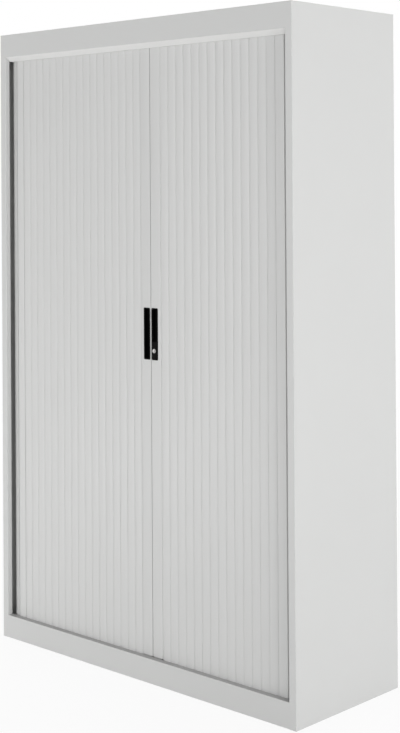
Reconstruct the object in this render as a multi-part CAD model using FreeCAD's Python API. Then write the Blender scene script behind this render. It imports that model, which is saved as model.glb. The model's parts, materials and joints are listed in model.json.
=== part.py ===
import FreeCAD, Part
import math
import os

from FreeCAD import Vector

# Roll front cabinet of folded sheet steel. X runs to the right, Y to the back, Z up.
# The origin is at the middle of the footprint, on the floor. All lengths are in millimetres.

# Overall size
cabinet_width = 1200.0
cabinet_depth = 450.0
cabinet_height = 1900.0

# Sheet steel and its folds
sheet = 1.0
bend_radius = 2.0
cut_overrun = 5.0
stile_width = 24.0
stile_return = 16.0
rear_flange = 20.0
top_flange = 15.0
rail_height_top = 70.0
rail_height_bottom = 70.0
rail_return_top = 12.0
rail_return_bottom = 20.0
panel_flange = 20.0
ceiling_rise = 8.0

# Roller curtain: slats that hook together and run in a track
curtain_recess = 20.0
slat_depth = 7.0
slat_pitch = 30.8
slat_gap = 1.5
slat_skin = 1.2
slat_crown = 0.6
bead_radius = 1.1
bead_clearance = 0.35
socket_wall = 1.0
neck_thickness = 1.0
neck_angle = 50.0
socket_open_front = 80.0
socket_open_back = 16.0
web_width = 1.3
tail_slat_count = 4
seam_x = 52.0

# Track, its corners and its seats in the housing
track_clearance = 0.5
track_wall = 2.0
track_floor = 2.0
track_seat_gap = 0.5
track_flange_thickness = 4.0
track_top_flange_thickness = 2.0
track_lip_drop = 14.0
track_lip_nose = 1.5
groove_depth_bottom = 8.0
groove_depth_top = 8.0
slat_top_clearance = 2.0
corner_radius = 53.0
back_run = 200.0
stop_length = 8.0

# Closing bars, their glides and the seal between them
bar_width = 40.0
bar_depth = 14.0
bar_wall = 1.5
bar_edge_radius = 1.0
bar_floor_clearance = 2.0
bar_top_clearance = 2.0
bar_park_gap = 6.2
bar_seam_gap = 1.6
glide_side_clearance = 0.8
glide_end_inset = 4.0
glide_pin_radius = 1.5
glide_pin_length = 8.0
glide_pin_inset = 12.0
glide_fit = 0.05
glide_top_clearance = 1.0
seal_thickness = 1.3
seal_front_inset = 0.8
seal_back_inset = 3.0

# Recessed pulls
pull_width = 25.0
pull_height = 149.0
pull_centre_z = 995.0
pull_seam_inset = 3.2
pull_plate = 1.2
pull_corner_radius = 3.5
pull_rim = 2.0
pull_wall = 1.2
pull_fit = 0.2
pull_ramp = 9.0
pull_recess_radius = 2.0
right_recess_rise = 52.0

# Cam lock in the right bar and its keeper on the left bar
lock_rise = 26.5
lock_bezel_radius = 9.5
lock_bezel_thickness = 1.5
lock_barrel_radius = 8.0
lock_barrel_rear = 12.0
lock_hole_fit = 0.2
plug_radius = 6.0
plug_fit = 0.05
plug_proud = 1.5
plug_tail_radius = 4.0
keyway_width = 1.6
keyway_height = 7.0
keyway_depth = 5.0
nut_across_flats = 22.0
nut_thickness = 4.0
hook_thickness = 3.0
hook_axial_gap = 0.5
hook_slot_clearance = 1.0
hook_finger = 4.0
hook_lead_angle = 8.0
hook_closed_angle = 9.0
hook_bridge_angle = 11.0
hook_hub_radius = 8.0
hook_screw_head_radius = 6.0
hook_screw_head_thickness = 3.0
hook_screw_radius = 2.0
hook_screw_length = 12.0
hook_screw_reach = 11.0
keeper_inset = 11.2
keeper_pin_radius = 3.0
keeper_pin_tip_gap = 2.5
keeper_plate_side = 20.0
keeper_plate_thickness = 2.0

# Inner housing, uprights, shelves and clips
liner_inset = 5.0
liner_front_gap = 5.5
liner_flange = 15.0
inner_back_gap = 4.5
upright_width = 25.0
upright_depth = 6.0
upright_front_inset = 30.0
upright_rear_inset = 20.0
upright_slot_width = 3.0
upright_slot_height = 12.0
upright_slot_pitch = 25.0
upright_end_gap = 4.0
shelf_count = 4
shelf_front_inset = 25.0
shelf_rear_gap = 4.0
shelf_end_gap = 1.5
shelf_height = 30.0
shelf_lip = 12.0
clip_length = 18.0
clip_width = 12.0
clip_thickness = 2.0
clip_height = 14.0
clip_hook_fit = 0.3
clip_hook_length = 4.0

# Levelling feet and what holds them
foot_liner_inset = 22.0
foot_end_inset = 55.0
foot_pad_radius = 16.0
foot_pad_height = 9.0
foot_pad_socket = 5.0
foot_spindle_radius = 5.0
foot_top_gap = 2.0
foot_fit = 0.05
foot_slot_width = 1.6
foot_slot_depth = 2.5
bracket_width = 50.0
bracket_length = 110.0
bracket_thickness = 3.0
bracket_drop = 20.0
bracket_skirt = 15.0
bracket_hole_clearance = 0.5
foot_nut_across_flats = 17.0
foot_nut_height = 8.0
plug_hole_radius = 7.0
plug_head_radius = 9.0
plug_head_thickness = 1.2
plug_stem_fit = 0.2

# Back panel fixings and wall fixing holes
rivet_head_radius = 3.2
rivet_head_thickness = 1.0
rivet_radius = 1.6
rivet_fit = 0.05
rivet_pitch = 200.0
rivet_flange_inset = 10.0
rivet_length = 3.0
wall_hole_radius = 4.0
wall_hole_spacing = 500.0
wall_hole_drop = 120.0

# Counts and tolerances that carry no length of the cabinet
hex_corners = 6
halving_steps = 50
parallel_tolerance = 1e-6

# Places that follow from the sizes above
half_width = cabinet_width / 2
half_depth = cabinet_depth / 2
front_y = -half_depth
rear_y = half_depth
stile_edge_x = half_width - stile_width
side_inner_x = half_width - sheet
side_top_z = cabinet_height - sheet
back_panel_outer_y = rear_y - sheet
back_panel_inner_y = back_panel_outer_y - sheet

groove_half = slat_depth / 2 + track_clearance
track_half = groove_half + track_wall
curtain_front_y = front_y + curtain_recess
front_run_y = curtain_front_y + slat_depth / 2
side_run_x = side_inner_x - track_seat_gap - track_half
back_run_y = back_panel_inner_y - track_seat_gap - track_half
path_radius = corner_radius - slat_depth / 2
corner_x = side_run_x - path_radius
front_corner_y = front_run_y + path_radius
rear_corner_y = back_run_y - path_radius

socket_inner_radius = bead_radius + bead_clearance
socket_outer_radius = socket_inner_radius + socket_wall
pivot_depth = slat_depth - socket_outer_radius
pivot_front_y = curtain_front_y + pivot_depth
pivot_radius = front_corner_y - pivot_front_y

groove_rim_z = rail_height_bottom
groove_base_z = groove_rim_z - groove_depth_bottom
floor_height = groove_base_z - track_floor
top_rail_z = cabinet_height - rail_height_top
ceiling_z = top_rail_z + ceiling_rise
groove_roof_z = ceiling_z - track_floor
groove_top_rim_z = groove_roof_z - groove_depth_top
lip_base_z = top_rail_z - track_lip_drop
slat_base_z = groove_base_z
slat_top_z = groove_roof_z - slat_top_clearance

liner_x = corner_x - liner_inset
liner_front_y = front_run_y + track_half + liner_front_gap
inner_back_y = back_run_y - track_half - inner_back_gap - sheet

bar_front_y = curtain_front_y
bar_back_y = bar_front_y + bar_depth
bar_base_z = groove_rim_z + bar_floor_clearance
bar_top_z = groove_top_rim_z - bar_top_clearance
left_bar_x = seam_x - bar_width
right_bar_x = seam_x + bar_width

pull_base_z = pull_centre_z - pull_height / 2
pull_top_z = pull_centre_z + pull_height / 2
pull_front_y = bar_front_y - pull_plate
pull_floor_y = bar_back_y - bar_wall
lock_x = seam_x + pull_seam_inset + pull_width / 2
lock_z = pull_base_z + lock_rise
keeper_x = seam_x - keeper_inset
keeper_reach = lock_x - keeper_x
lock_rear_y = bar_back_y + lock_barrel_rear
hook_y = lock_rear_y + hook_axial_gap


def polar(radius, degrees):
    """The two parts of a radius at an angle."""
    return radius * math.cos(math.radians(degrees)), radius * math.sin(math.radians(degrees))


def box(low, high):
    """A solid box between two opposite corners."""
    size = [b - a for a, b in zip(low, high)]
    return Part.makeBox(size[0], size[1], size[2], Vector(*low))


def rod(centre, axis, radius, length):
    """A round bar from a centre point along an axis."""
    return Part.makeCylinder(radius, length, Vector(*centre), Vector(*axis))


def hex_prism(centre, axis, across_flats, length):
    """A hexagonal bar along Y or Z from a centre point."""
    reach = across_flats / 2 / math.cos(math.pi / hex_corners)
    points = []
    for corner in range(hex_corners + 1):
        first, second = polar(reach, 360 * corner / hex_corners)
        if axis[1]:
            points.append(Vector(centre[0] + first, centre[1], centre[2] + second))
        else:
            points.append(Vector(centre[0] + first, centre[1] + second, centre[2]))
    face = Part.Face(Part.makePolygon(points))
    return face.extrude(Vector(*axis) * length)


def mirrored(shape):
    """The same shape on the other side of the middle plane."""
    return shape.mirror(Vector(0, 0, 0), Vector(1, 0, 0))


def parallel_edges(shape, direction):
    """The straight edges of a shape that run along a direction."""
    found = []
    for edge in shape.Edges:
        if edge.Curve.TypeId != "Part::GeomLine":
            continue
        along = edge.tangentAt(edge.FirstParameter)
        if along.cross(direction).Length < parallel_tolerance:
            found.append(edge)
    return found


def rounded_box(low, high, radius, direction):
    """A box whose edges along one direction are rounded."""
    shape = box(low, high)
    return shape.makeFillet(radius, parallel_edges(shape, direction))


def fold_line(points, radii):
    """Edges of a square-cornered line of 2D points, with an arc of the given radius at each inner point."""
    edges = []
    start = points[0]
    for index in range(1, len(points) - 1):
        corner = points[index]
        radius = radii[index - 1]
        before = (corner - points[index - 1]).normalize()
        after = (points[index + 1] - corner).normalize()
        entry = corner - before * radius
        leave = corner + after * radius
        edges.append(Part.makeLine(start, entry))
        if radius > 0:
            centre = entry + after * radius
            middle = centre + (corner - centre).normalize() * radius
            edges.append(Part.Arc(entry, middle, leave).toShape())
        start = leave
    edges.append(Part.makeLine(start, points[-1]))
    return edges


def folded_profile(points, material_side):
    """The cross section, in the XY plane, of a sheet folded along a line of points.

    material_side is 1 where the sheet lies to the left of the line, and -1 where it lies to the right.
    """
    line = [Vector(a, b, 0) for a, b in points]
    up = Vector(0, 0, 1)
    normals = []
    for first, second in zip(line, line[1:]):
        along = (second - first).normalize()
        normals.append(up.cross(along) * material_side)
    offset = [line[0] + normals[0] * sheet]
    radii = []
    offset_radii = []
    for index in range(1, len(line) - 1):
        offset.append(line[index] + (normals[index - 1] + normals[index]) * sheet)
        turn = (line[index] - line[index - 1]).cross(line[index + 1] - line[index]).z
        outside = turn * material_side > 0
        radii.append(bend_radius if outside else bend_radius - sheet)
        offset_radii.append(bend_radius - sheet if outside else bend_radius)
    offset.append(line[-1] + normals[-1] * sheet)
    edges = fold_line(line, radii)
    edges.append(Part.makeLine(line[-1], offset[-1]))
    edges.extend(fold_line(list(reversed(offset)), list(reversed(offset_radii))))
    edges.append(Part.makeLine(offset[0], line[0]))
    return Part.Face(Part.Wire(edges))


def folded_upright(points, material_side, base_z, top_z):
    """A folded sheet whose section is in plan and which stands from one height to another."""
    face = folded_profile(points, material_side)
    solid = face.extrude(Vector(0, 0, top_z - base_z))
    solid.translate(Vector(0, 0, base_z))
    return solid


def folded_across(points, material_side, left_x, right_x):
    """A folded sheet whose section is seen from the side, as (y, z), and which runs across in X."""
    face = folded_profile(points, material_side)
    solid = face.extrude(Vector(0, 0, right_x - left_x))
    solid.rotate(Vector(0, 0, 0), Vector(1, 1, 1), 120)
    solid.translate(Vector(left_x, 0, 0))
    return solid


def save(name, shapes):
    """Write one named piece, or a group of alike pieces, to its own file."""
    shape = Part.makeCompound(shapes) if len(shapes) > 1 else shapes[0]
    shape.exportStep(os.path.join("parts", name + ".step"))


def side_panel():
    """Right side panel with its front stile, the stile's return and the rear flange."""
    points = [
        (stile_edge_x, front_y + stile_return),
        (stile_edge_x, front_y),
        (half_width, front_y),
        (half_width, rear_y),
        (half_width - rear_flange, rear_y),
    ]
    return folded_upright(points, 1, 0, side_top_z)


def top_panel():
    """Flat top with a flange turned down inside each side panel."""
    plate = box((-half_width, front_y, side_top_z), (half_width, rear_y, cabinet_height))
    flange = box(
        (side_inner_x - sheet, front_y + stile_return, side_top_z - top_flange),
        (side_inner_x, back_panel_inner_y, side_top_z),
    )
    return plate.fuse([flange, mirrored(flange)]).removeSplitter()


def top_rail():
    """Front rail over the curtain, with its lower edge turned back."""
    points = [
        (front_y, side_top_z),
        (front_y, top_rail_z),
        (front_y + sheet + rail_return_top, top_rail_z),
    ]
    return folded_across(points, 1, -stile_edge_x, stile_edge_x)


def bottom_rail():
    """Front plinth rail, with its lower edge turned back along the floor."""
    points = [
        (front_y, rail_height_bottom),
        (front_y, 0),
        (front_y + sheet + rail_return_bottom, 0),
    ]
    return folded_across(points, 1, -stile_edge_x, stile_edge_x)


def rear_plinth():
    """Rear plinth rail inside the back panel."""
    points = [
        (back_panel_inner_y, floor_height - panel_flange),
        (back_panel_inner_y, 0),
        (back_panel_inner_y - rail_return_bottom, 0),
    ]
    rail = folded_across(points, -1, -side_inner_x, side_inner_x)
    return rail


def rivet_places():
    """Places of the rivets along one edge of the back panel, clear of the rear flanges."""
    gaps = int((half_width - rear_flange * 2) * 2 / rivet_pitch)
    first = -rivet_pitch * gaps / 2
    return [first + rivet_pitch * index for index in range(gaps + 1)]


def rivet_heights():
    """Heights of the two rows of rivets."""
    return [floor_height - rivet_flange_inset, ceiling_z + sheet + rivet_flange_inset]


def rivet_holes():
    """Cuts for the rivet shanks through the back panel and the flanges behind it."""
    length = rivet_length + cut_overrun
    cuts = []
    for z in rivet_heights():
        for x in rivet_places():
            start = (x, rear_y - length, z)
            cuts.append(rod(start, (0, 1, 0), rivet_radius + rivet_fit, length))
    return cuts


def rivets():
    """Blind rivets that hold the back panel."""
    shapes = []
    for z in rivet_heights():
        for x in rivet_places():
            shank = rod((x, back_panel_outer_y - rivet_length, z), (0, 1, 0), rivet_radius, rivet_length)
            head = rod((x, back_panel_outer_y, z), (0, 1, 0), rivet_head_radius, rivet_head_thickness)
            shapes.append(shank.fuse(head).removeSplitter())
    return shapes


def wall_holes():
    """Cuts for two screws that tie the cabinet to a wall."""
    z = cabinet_height - wall_hole_drop
    length = back_panel_outer_y - inner_back_y + cut_overrun * 2
    cuts = []
    for side in (-1, 1):
        start = (side * wall_hole_spacing / 2, inner_back_y - cut_overrun, z)
        cuts.append(rod(start, (0, 1, 0), wall_hole_radius, length))
    return cuts


def back_panel():
    """Outer back, set inside the rear flanges of the side panels."""
    reach = side_inner_x - bend_radius
    plate = box((-reach, back_panel_inner_y, 0), (reach, back_panel_outer_y, side_top_z))
    return plate.cut(rivet_holes() + wall_holes())


def foot_places():
    """Plan places of the four feet, by name."""
    x = liner_x - sheet - foot_liner_inset
    y = half_depth - foot_end_inset
    return {
        "front_left": (-x, -y),
        "front_right": (x, -y),
        "rear_left": (-x, y),
        "rear_right": (x, y),
    }


def base_panel():
    """Cabinet floor with flanges turned down at the sides and back, and a hole over each foot."""
    low_y = front_y + sheet
    plate_base_z = floor_height - sheet
    plate = box((-side_inner_x, low_y, plate_base_z), (side_inner_x, back_panel_inner_y, floor_height))
    flange_base_z = floor_height - panel_flange
    side = box(
        (side_inner_x - sheet, front_y + stile_return, flange_base_z),
        (side_inner_x, back_panel_inner_y, floor_height),
    )
    rear = box(
        (-side_inner_x, back_panel_inner_y - sheet, flange_base_z),
        (side_inner_x, back_panel_inner_y, floor_height),
    )
    panel = plate.fuse([side, mirrored(side), rear])
    cuts = rivet_holes() + stile_notches(floor_height - sheet)
    for x, y in foot_places().values():
        start = (x, y, floor_height - sheet - cut_overrun)
        cuts.append(rod(start, (0, 0, 1), plug_hole_radius, sheet + cut_overrun * 2))
    return panel.cut(cuts).removeSplitter()


def stile_notches(base_z):
    """Cuts that let a level panel pass the returns of the two front stiles."""
    notch = box(
        (stile_edge_x, front_y, base_z - cut_overrun),
        (half_width, front_y + stile_return, base_z + sheet + cut_overrun),
    )
    return [notch, mirrored(notch)]


def ceiling_panel():
    """Inner ceiling that carries the top tracks, with flanges turned up."""
    low_y = front_y + sheet
    plate = box((-side_inner_x, low_y, ceiling_z), (side_inner_x, back_panel_inner_y, ceiling_z + sheet))
    flange_top_z = ceiling_z + sheet + panel_flange
    side = box(
        (side_inner_x - sheet, front_y + stile_return, ceiling_z),
        (side_inner_x, back_panel_inner_y, flange_top_z),
    )
    rear = box(
        (-side_inner_x, back_panel_inner_y - sheet, ceiling_z),
        (side_inner_x, back_panel_inner_y, flange_top_z),
    )
    panel = plate.fuse([side, mirrored(side), rear])
    return panel.cut(rivet_holes() + stile_notches(ceiling_z)).removeSplitter()


def liner():
    """Right inner side panel, which hides the curtain's way to the back."""
    points = [
        (liner_x + liner_flange, liner_front_y),
        (liner_x - sheet, liner_front_y),
        (liner_x - sheet, inner_back_y),
        (liner_x + liner_flange, inner_back_y),
    ]
    return folded_upright(points, -1, floor_height, ceiling_z)


def inner_back():
    """Inner back panel, in front of the curtain's rear run."""
    reach = liner_x + liner_flange
    plate = box((-reach, inner_back_y, floor_height), (reach, inner_back_y + sheet, ceiling_z))
    return plate.cut(wall_holes())


def upright_fronts():
    """Front faces, in Y, of the two slotted uprights on one side."""
    return {
        "front": liner_front_y + upright_front_inset,
        "rear": inner_back_y - upright_rear_inset - upright_width,
    }


def shelf_levels():
    """Heights of the tops of the shelves, evenly spaced on the uprights' slots."""
    space = (ceiling_z - floor_height) / (shelf_count + 1)
    levels = []
    for index in range(shelf_count):
        wanted = space * (index + 1) / upright_slot_pitch
        levels.append(floor_height + upright_slot_pitch * round(wanted))
    return levels


def slot_heights():
    """Heights of the middles of the uprights' slots."""
    drop = shelf_height + clip_height / 2
    count = int((ceiling_z - floor_height) / upright_slot_pitch)
    lowest = floor_height + upright_end_gap + upright_slot_height
    highest = ceiling_z - upright_end_gap - upright_slot_height
    heights = [floor_height + upright_slot_pitch * index - drop for index in range(1, count)]
    return [z for z in heights if lowest < z < highest]


def upright(low_y):
    """Right slotted upright that the shelf clips hook into."""
    inner = liner_x - sheet
    points = [
        (inner, low_y),
        (inner - upright_depth, low_y),
        (inner - upright_depth, low_y + upright_width),
        (inner, low_y + upright_width),
    ]
    post = folded_upright(points, -1, floor_height + upright_end_gap, ceiling_z - upright_end_gap)
    face_x = inner - upright_depth
    middle = low_y + upright_width / 2
    half_slot_width = upright_slot_width / 2
    half_slot_height = upright_slot_height / 2
    slots = []
    for z in slot_heights():
        slots.append(box(
            (face_x - cut_overrun, middle - half_slot_width, z - half_slot_height),
            (face_x + sheet, middle + half_slot_width, z + half_slot_height),
        ))
    return post.cut(slots)


def shelf(top_z):
    """One shelf, a tray folded downwards with a return lip at the front and back."""
    reach = liner_x - sheet - upright_depth - shelf_end_gap
    low_y = liner_front_y + shelf_front_inset
    high_y = inner_back_y - shelf_rear_gap
    base_z = top_z - shelf_height
    points = [
        (low_y + shelf_lip, base_z),
        (low_y, base_z),
        (low_y, top_z),
        (high_y, top_z),
        (high_y, base_z),
        (high_y - shelf_lip, base_z),
    ]
    tray = folded_across(points, -1, -reach, reach)
    end = box(
        (reach - sheet, low_y + bend_radius, base_z + sheet),
        (reach, high_y - bend_radius, top_z - sheet / 2),
    )
    return tray.fuse([end, mirrored(end)]).removeSplitter()


def shelf_clip(side, low_y, top_z):
    """One clip that hooks into an upright's slot and carries a shelf's corner."""
    face_x = liner_x - sheet - upright_depth
    shelf_base = top_z - shelf_height
    middle = low_y + upright_width / 2
    plate = box(
        (face_x - clip_thickness, middle - clip_width / 2, shelf_base - clip_height),
        (face_x, middle + clip_width / 2, shelf_base),
    )
    ledge = box(
        (face_x - clip_length, middle - clip_width / 2, shelf_base - clip_thickness),
        (face_x, middle + clip_width / 2, shelf_base),
    )
    slot_z = shelf_base - clip_height / 2
    half_hook = upright_slot_width / 2 - clip_hook_fit
    hook = box(
        (face_x, middle - half_hook, slot_z - upright_slot_height / 2 + clip_hook_fit),
        (face_x + clip_hook_length, middle + half_hook, slot_z + upright_slot_height / 2 - clip_hook_fit),
    )
    clip = plate.fuse([ledge, hook]).removeSplitter()
    return clip if side > 0 else mirrored(clip)


def arc_edge(centre_x, centre_y, radius, start_angle, end_angle):
    """An arc in plan about a centre."""
    ends = []
    for angle in (start_angle, (start_angle + end_angle) / 2, end_angle):
        x, y = polar(radius, angle)
        ends.append(Vector(centre_x + x, centre_y + y, 0))
    return Part.Arc(ends[0], ends[1], ends[2]).toShape()


def run_edges(offset, start_x, to_back):
    """Edges of the curtain's way on the right side, moved outwards by an offset."""
    radius = path_radius + offset
    start = Vector(start_x, front_run_y - offset, 0)
    corner = Vector(corner_x, front_run_y - offset, 0)
    edges = [Part.makeLine(start, corner), arc_edge(corner_x, front_corner_y, radius, -90, 0)]
    if to_back:
        side_start = Vector(side_run_x + offset, front_corner_y, 0)
        side_end = Vector(side_run_x + offset, rear_corner_y, 0)
        back_start = Vector(corner_x, back_run_y + offset, 0)
        back_end = Vector(corner_x - back_run, back_run_y + offset, 0)
        edges.append(Part.makeLine(side_start, side_end))
        edges.append(arc_edge(corner_x, rear_corner_y, radius, 0, 90))
        edges.append(Part.makeLine(back_start, back_end))
    return edges


def run_end(offset, to_back):
    """The last point of the curtain's way, moved outwards by an offset."""
    if to_back:
        return Vector(corner_x - back_run, back_run_y + offset, 0)
    return Vector(side_run_x + offset, front_corner_y, 0)


def run_band(inner, outer, start_x, base_z, top_z, to_back=True):
    """A wall or floor that follows the curtain's way, between two offsets and two heights."""
    edges = run_edges(outer, start_x, to_back)
    edges.append(Part.makeLine(run_end(outer, to_back), run_end(inner, to_back)))
    edges.extend(run_edges(inner, start_x, to_back))
    inner_start = Vector(start_x, front_run_y - inner, 0)
    outer_start = Vector(start_x, front_run_y - outer, 0)
    edges.append(Part.makeLine(inner_start, outer_start))
    face = Part.Face(Part.Wire(Part.__sortEdges__(edges)))
    band = face.extrude(Vector(0, 0, top_z - base_z))
    band.translate(Vector(0, 0, base_z))
    return band


def bottom_track(start_x):
    """Right bottom track: a groove round both corners, with a flat ledge to the front rail."""
    floor = run_band(-track_half, track_half, start_x, floor_height, groove_base_z)
    outer = run_band(groove_half, track_half, start_x, floor_height, groove_rim_z)
    inner = run_band(-track_half, -groove_half, start_x, floor_height, groove_rim_z)
    ledge = box(
        (start_x, front_y + sheet, groove_rim_z - track_flange_thickness),
        (stile_edge_x, front_run_y - groove_half, groove_rim_z),
    )
    slot = run_band(-groove_half, groove_half, start_x, groove_base_z, groove_rim_z)
    return floor.fuse([outer, inner, ledge.cut(slot)]).removeSplitter()


def top_track(start_x):
    """Right top track, upside down, with a lip that covers the slats' upper ends."""
    roof = run_band(-track_half, track_half, start_x, groove_roof_z, ceiling_z)
    outer = run_band(groove_half, track_half, start_x, groove_top_rim_z, ceiling_z)
    inner = run_band(-track_half, -groove_half, start_x, groove_top_rim_z, ceiling_z)
    lip = run_band(groove_half, track_half, start_x, lip_base_z, ceiling_z, to_back=False)
    flange_base_z = top_rail_z + sheet
    flange = box(
        (start_x, front_y + bend_radius, flange_base_z),
        (stile_edge_x, front_run_y - groove_half, flange_base_z + track_top_flange_thickness),
    )
    slot = run_band(-groove_half, groove_half, start_x, lip_base_z, groove_roof_z)
    return roof.fuse([outer, inner, lip, lip_slope(start_x), flange.cut(slot)]).removeSplitter()


def lip_slope(start_x):
    """The slanted front of the top track's lip, from the rail's lower edge back to the curtain."""
    lip_y = front_run_y - track_half
    nose_y = front_y + sheet + bend_radius
    points = [
        Vector(start_x, nose_y, top_rail_z),
        Vector(start_x, lip_y, top_rail_z),
        Vector(start_x, lip_y, lip_base_z),
        Vector(start_x, nose_y, top_rail_z - track_lip_nose),
        Vector(start_x, nose_y, top_rail_z),
    ]
    return Part.Face(Part.makePolygon(points)).extrude(Vector(corner_x - start_x, 0, 0))


def curtain_stops():
    """Blocks that close the grooves at the end of each rear run."""
    shapes = []
    inset_x = corner_x - back_run
    for base_z, top_z in ((groove_base_z, groove_rim_z), (groove_top_rim_z, groove_roof_z)):
        block = box(
            (inset_x, back_run_y - groove_half, base_z),
            (inset_x + stop_length, back_run_y + groove_half, top_z),
        )
        shapes.extend([block, mirrored(block)])
    return shapes


def socket_ring(u, height):
    """The open socket of a slat or bar, about the pivot at a place along the slat."""
    ring = rod((u, 0, 0), (0, 0, 1), socket_outer_radius, height)
    bore = rod((u, 0, 0), (0, 0, 1), socket_inner_radius, height)
    reach = socket_outer_radius * 2
    points = [Vector(u, 0, 0)]
    for angle in (-socket_open_front, (socket_open_back - socket_open_front) / 2, socket_open_back):
        along, across = polar(reach, angle)
        points.append(Vector(u + along, across, 0))
    points.append(points[0])
    mouth = Part.Face(Part.makePolygon(points)).extrude(Vector(0, 0, height))
    return ring.cut([bore, mouth])


def slat(height):
    """One slat, from the pivot of its bead at the origin to the pivot of its socket one pitch away.

    The front of the slat faces -Y, and its pivots lie on the X axis.
    """
    left = slat_gap / 2
    right = slat_pitch - slat_gap / 2
    crest = -pivot_depth
    edge = crest + slat_crown
    middle = slat_pitch / 2
    front = Part.Arc(Vector(left, edge, 0), Vector(middle, crest, 0), Vector(right, edge, 0)).toShape()
    back = Part.Arc(
        Vector(right, edge + slat_skin, 0),
        Vector(middle, crest + slat_skin, 0),
        Vector(left, edge + slat_skin, 0),
    ).toShape()
    ends = [
        Part.makeLine(Vector(right, edge, 0), Vector(right, edge + slat_skin, 0)),
        Part.makeLine(Vector(left, edge + slat_skin, 0), Vector(left, edge, 0)),
    ]
    skin = Part.Face(Part.Wire([front, ends[0], back, ends[1]])).extrude(Vector(0, 0, height))
    bead = rod((0, 0, 0), (0, 0, 1), bead_radius, height)
    neck_reach = (-edge - slat_skin / 2) / math.sin(math.radians(neck_angle))
    neck = box((0, -neck_thickness / 2, 0), (neck_reach, neck_thickness / 2, height))
    neck.rotate(Vector(0, 0, 0), Vector(0, 0, 1), -neck_angle)
    web = box(
        (right - web_width, edge + slat_skin / 2, 0),
        (right, -socket_inner_radius + socket_wall / 4, height),
    )
    bore = rod((slat_pitch, 0, 0), (0, 0, 1), socket_inner_radius, height)
    ring = socket_ring(slat_pitch, height)
    return skin.fuse([bead, neck, web.cut(bore), ring]).removeSplitter()


def way_point(distance, start_x):
    """A pivot's place on the right side, a distance along its way from a start on the front run."""
    straight = corner_x - start_x
    quarter = pivot_radius * math.pi / 2
    if distance <= straight:
        return Vector(start_x + distance, pivot_front_y, 0)
    if distance <= straight + quarter:
        angle = (distance - straight) / pivot_radius
        x = corner_x + pivot_radius * math.sin(angle)
        y = front_corner_y - pivot_radius * math.cos(angle)
        return Vector(x, y, 0)
    return Vector(corner_x + pivot_radius, front_corner_y + distance - straight - quarter, 0)


def next_distance(distance, start_x):
    """How far along the way the next pivot is, one pitch away in a straight line."""
    here = way_point(distance, start_x)
    low = distance + slat_pitch / 2
    high = distance + slat_pitch * 2
    for _ in range(halving_steps):
        middle = (low + high) / 2
        if (way_point(middle, start_x) - here).Length < slat_pitch:
            low = middle
        else:
            high = middle
    return (low + high) / 2


def straight_slat_count(first_x):
    """How many whole slats lie on the front run, from the pivot at the closing bar."""
    return int((corner_x - first_x) / slat_pitch)


def front_slats(first_x):
    """The slats on the front run of the right side, from the pivot at the closing bar."""
    pattern = slat(slat_top_z - slat_base_z)
    shapes = []
    for index in range(straight_slat_count(first_x)):
        copy = pattern.copy()
        copy.translate(Vector(first_x + slat_pitch * index, pivot_front_y, slat_base_z))
        shapes.append(copy)
    return shapes


def tail_slats(first_x):
    """The last slats of the right side, which follow the corner and the side run."""
    pattern = slat(slat_top_z - slat_base_z)
    distance = straight_slat_count(first_x) * slat_pitch
    shapes = []
    for _ in range(tail_slat_count):
        following = next_distance(distance, first_x)
        here = way_point(distance, first_x)
        along = way_point(following, first_x) - here
        copy = pattern.copy()
        copy.rotate(Vector(0, 0, 0), Vector(0, 0, 1), math.degrees(math.atan2(along.y, along.x)))
        copy.translate(Vector(here.x, here.y, slat_base_z))
        shapes.append(copy)
        distance = following
    return shapes


def bar_glide_cuts(low_x, high_x):
    """Holes in the two end walls of a closing bar for the pins of its glides."""
    cuts = []
    for x in (low_x + glide_pin_inset, high_x - glide_pin_inset):
        for z in (bar_base_z, bar_top_z - bar_wall):
            start = (x, front_run_y, z - cut_overrun)
            cuts.append(rod(start, (0, 0, 1), glide_pin_radius + glide_fit, bar_wall + cut_overrun * 2))
    return cuts


def bar_body(inner_x, outer_x):
    """A closing bar on the right of the middle, hollow, with closed ends and a socket for its first slat."""
    up = Vector(0, 0, 1)
    height = bar_top_z - bar_base_z
    outer = rounded_box(
        (inner_x, bar_front_y, bar_base_z), (outer_x, bar_back_y, bar_top_z), bar_edge_radius, up
    )
    hollow = box(
        (inner_x + bar_wall, bar_front_y + bar_wall, bar_base_z + bar_wall),
        (outer_x - bar_wall, bar_back_y - bar_wall, bar_top_z - bar_wall),
    )
    ring = socket_ring(0, height)
    ring.translate(Vector(outer_x + slat_gap / 2, pivot_front_y, bar_base_z))
    bore = rod((outer_x + slat_gap / 2, pivot_front_y, bar_base_z), (0, 0, 1), socket_inner_radius, height)
    body = outer.cut([hollow, bore]).fuse(ring).removeSplitter()
    return body.cut(bar_glide_cuts(inner_x, outer_x))


def pull_cut(inner_x, outer_x, base_z, top_z):
    """The pocket in a bar's front wall for the body of a pull."""
    return box(
        (inner_x + pull_rim - pull_fit, bar_front_y - cut_overrun, base_z + pull_rim - pull_fit),
        (outer_x - pull_rim + pull_fit, bar_front_y + bar_wall, top_z - pull_rim + pull_fit),
    )


def pull_span(side):
    """The two edges, in X, of the pull on the left (-1) or right (1) of the seam."""
    near = seam_x + side * pull_seam_inset
    far = near + side * pull_width
    return min(near, far), max(near, far)


def recess_base(side):
    """Where a pull's finger recess begins, above the lock on the right."""
    return pull_base_z + (right_recess_rise if side > 0 else pull_rim + pull_wall)


def body_base(side):
    """Where the cup behind a pull's plate begins."""
    return recess_base(side) - pull_wall


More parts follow.
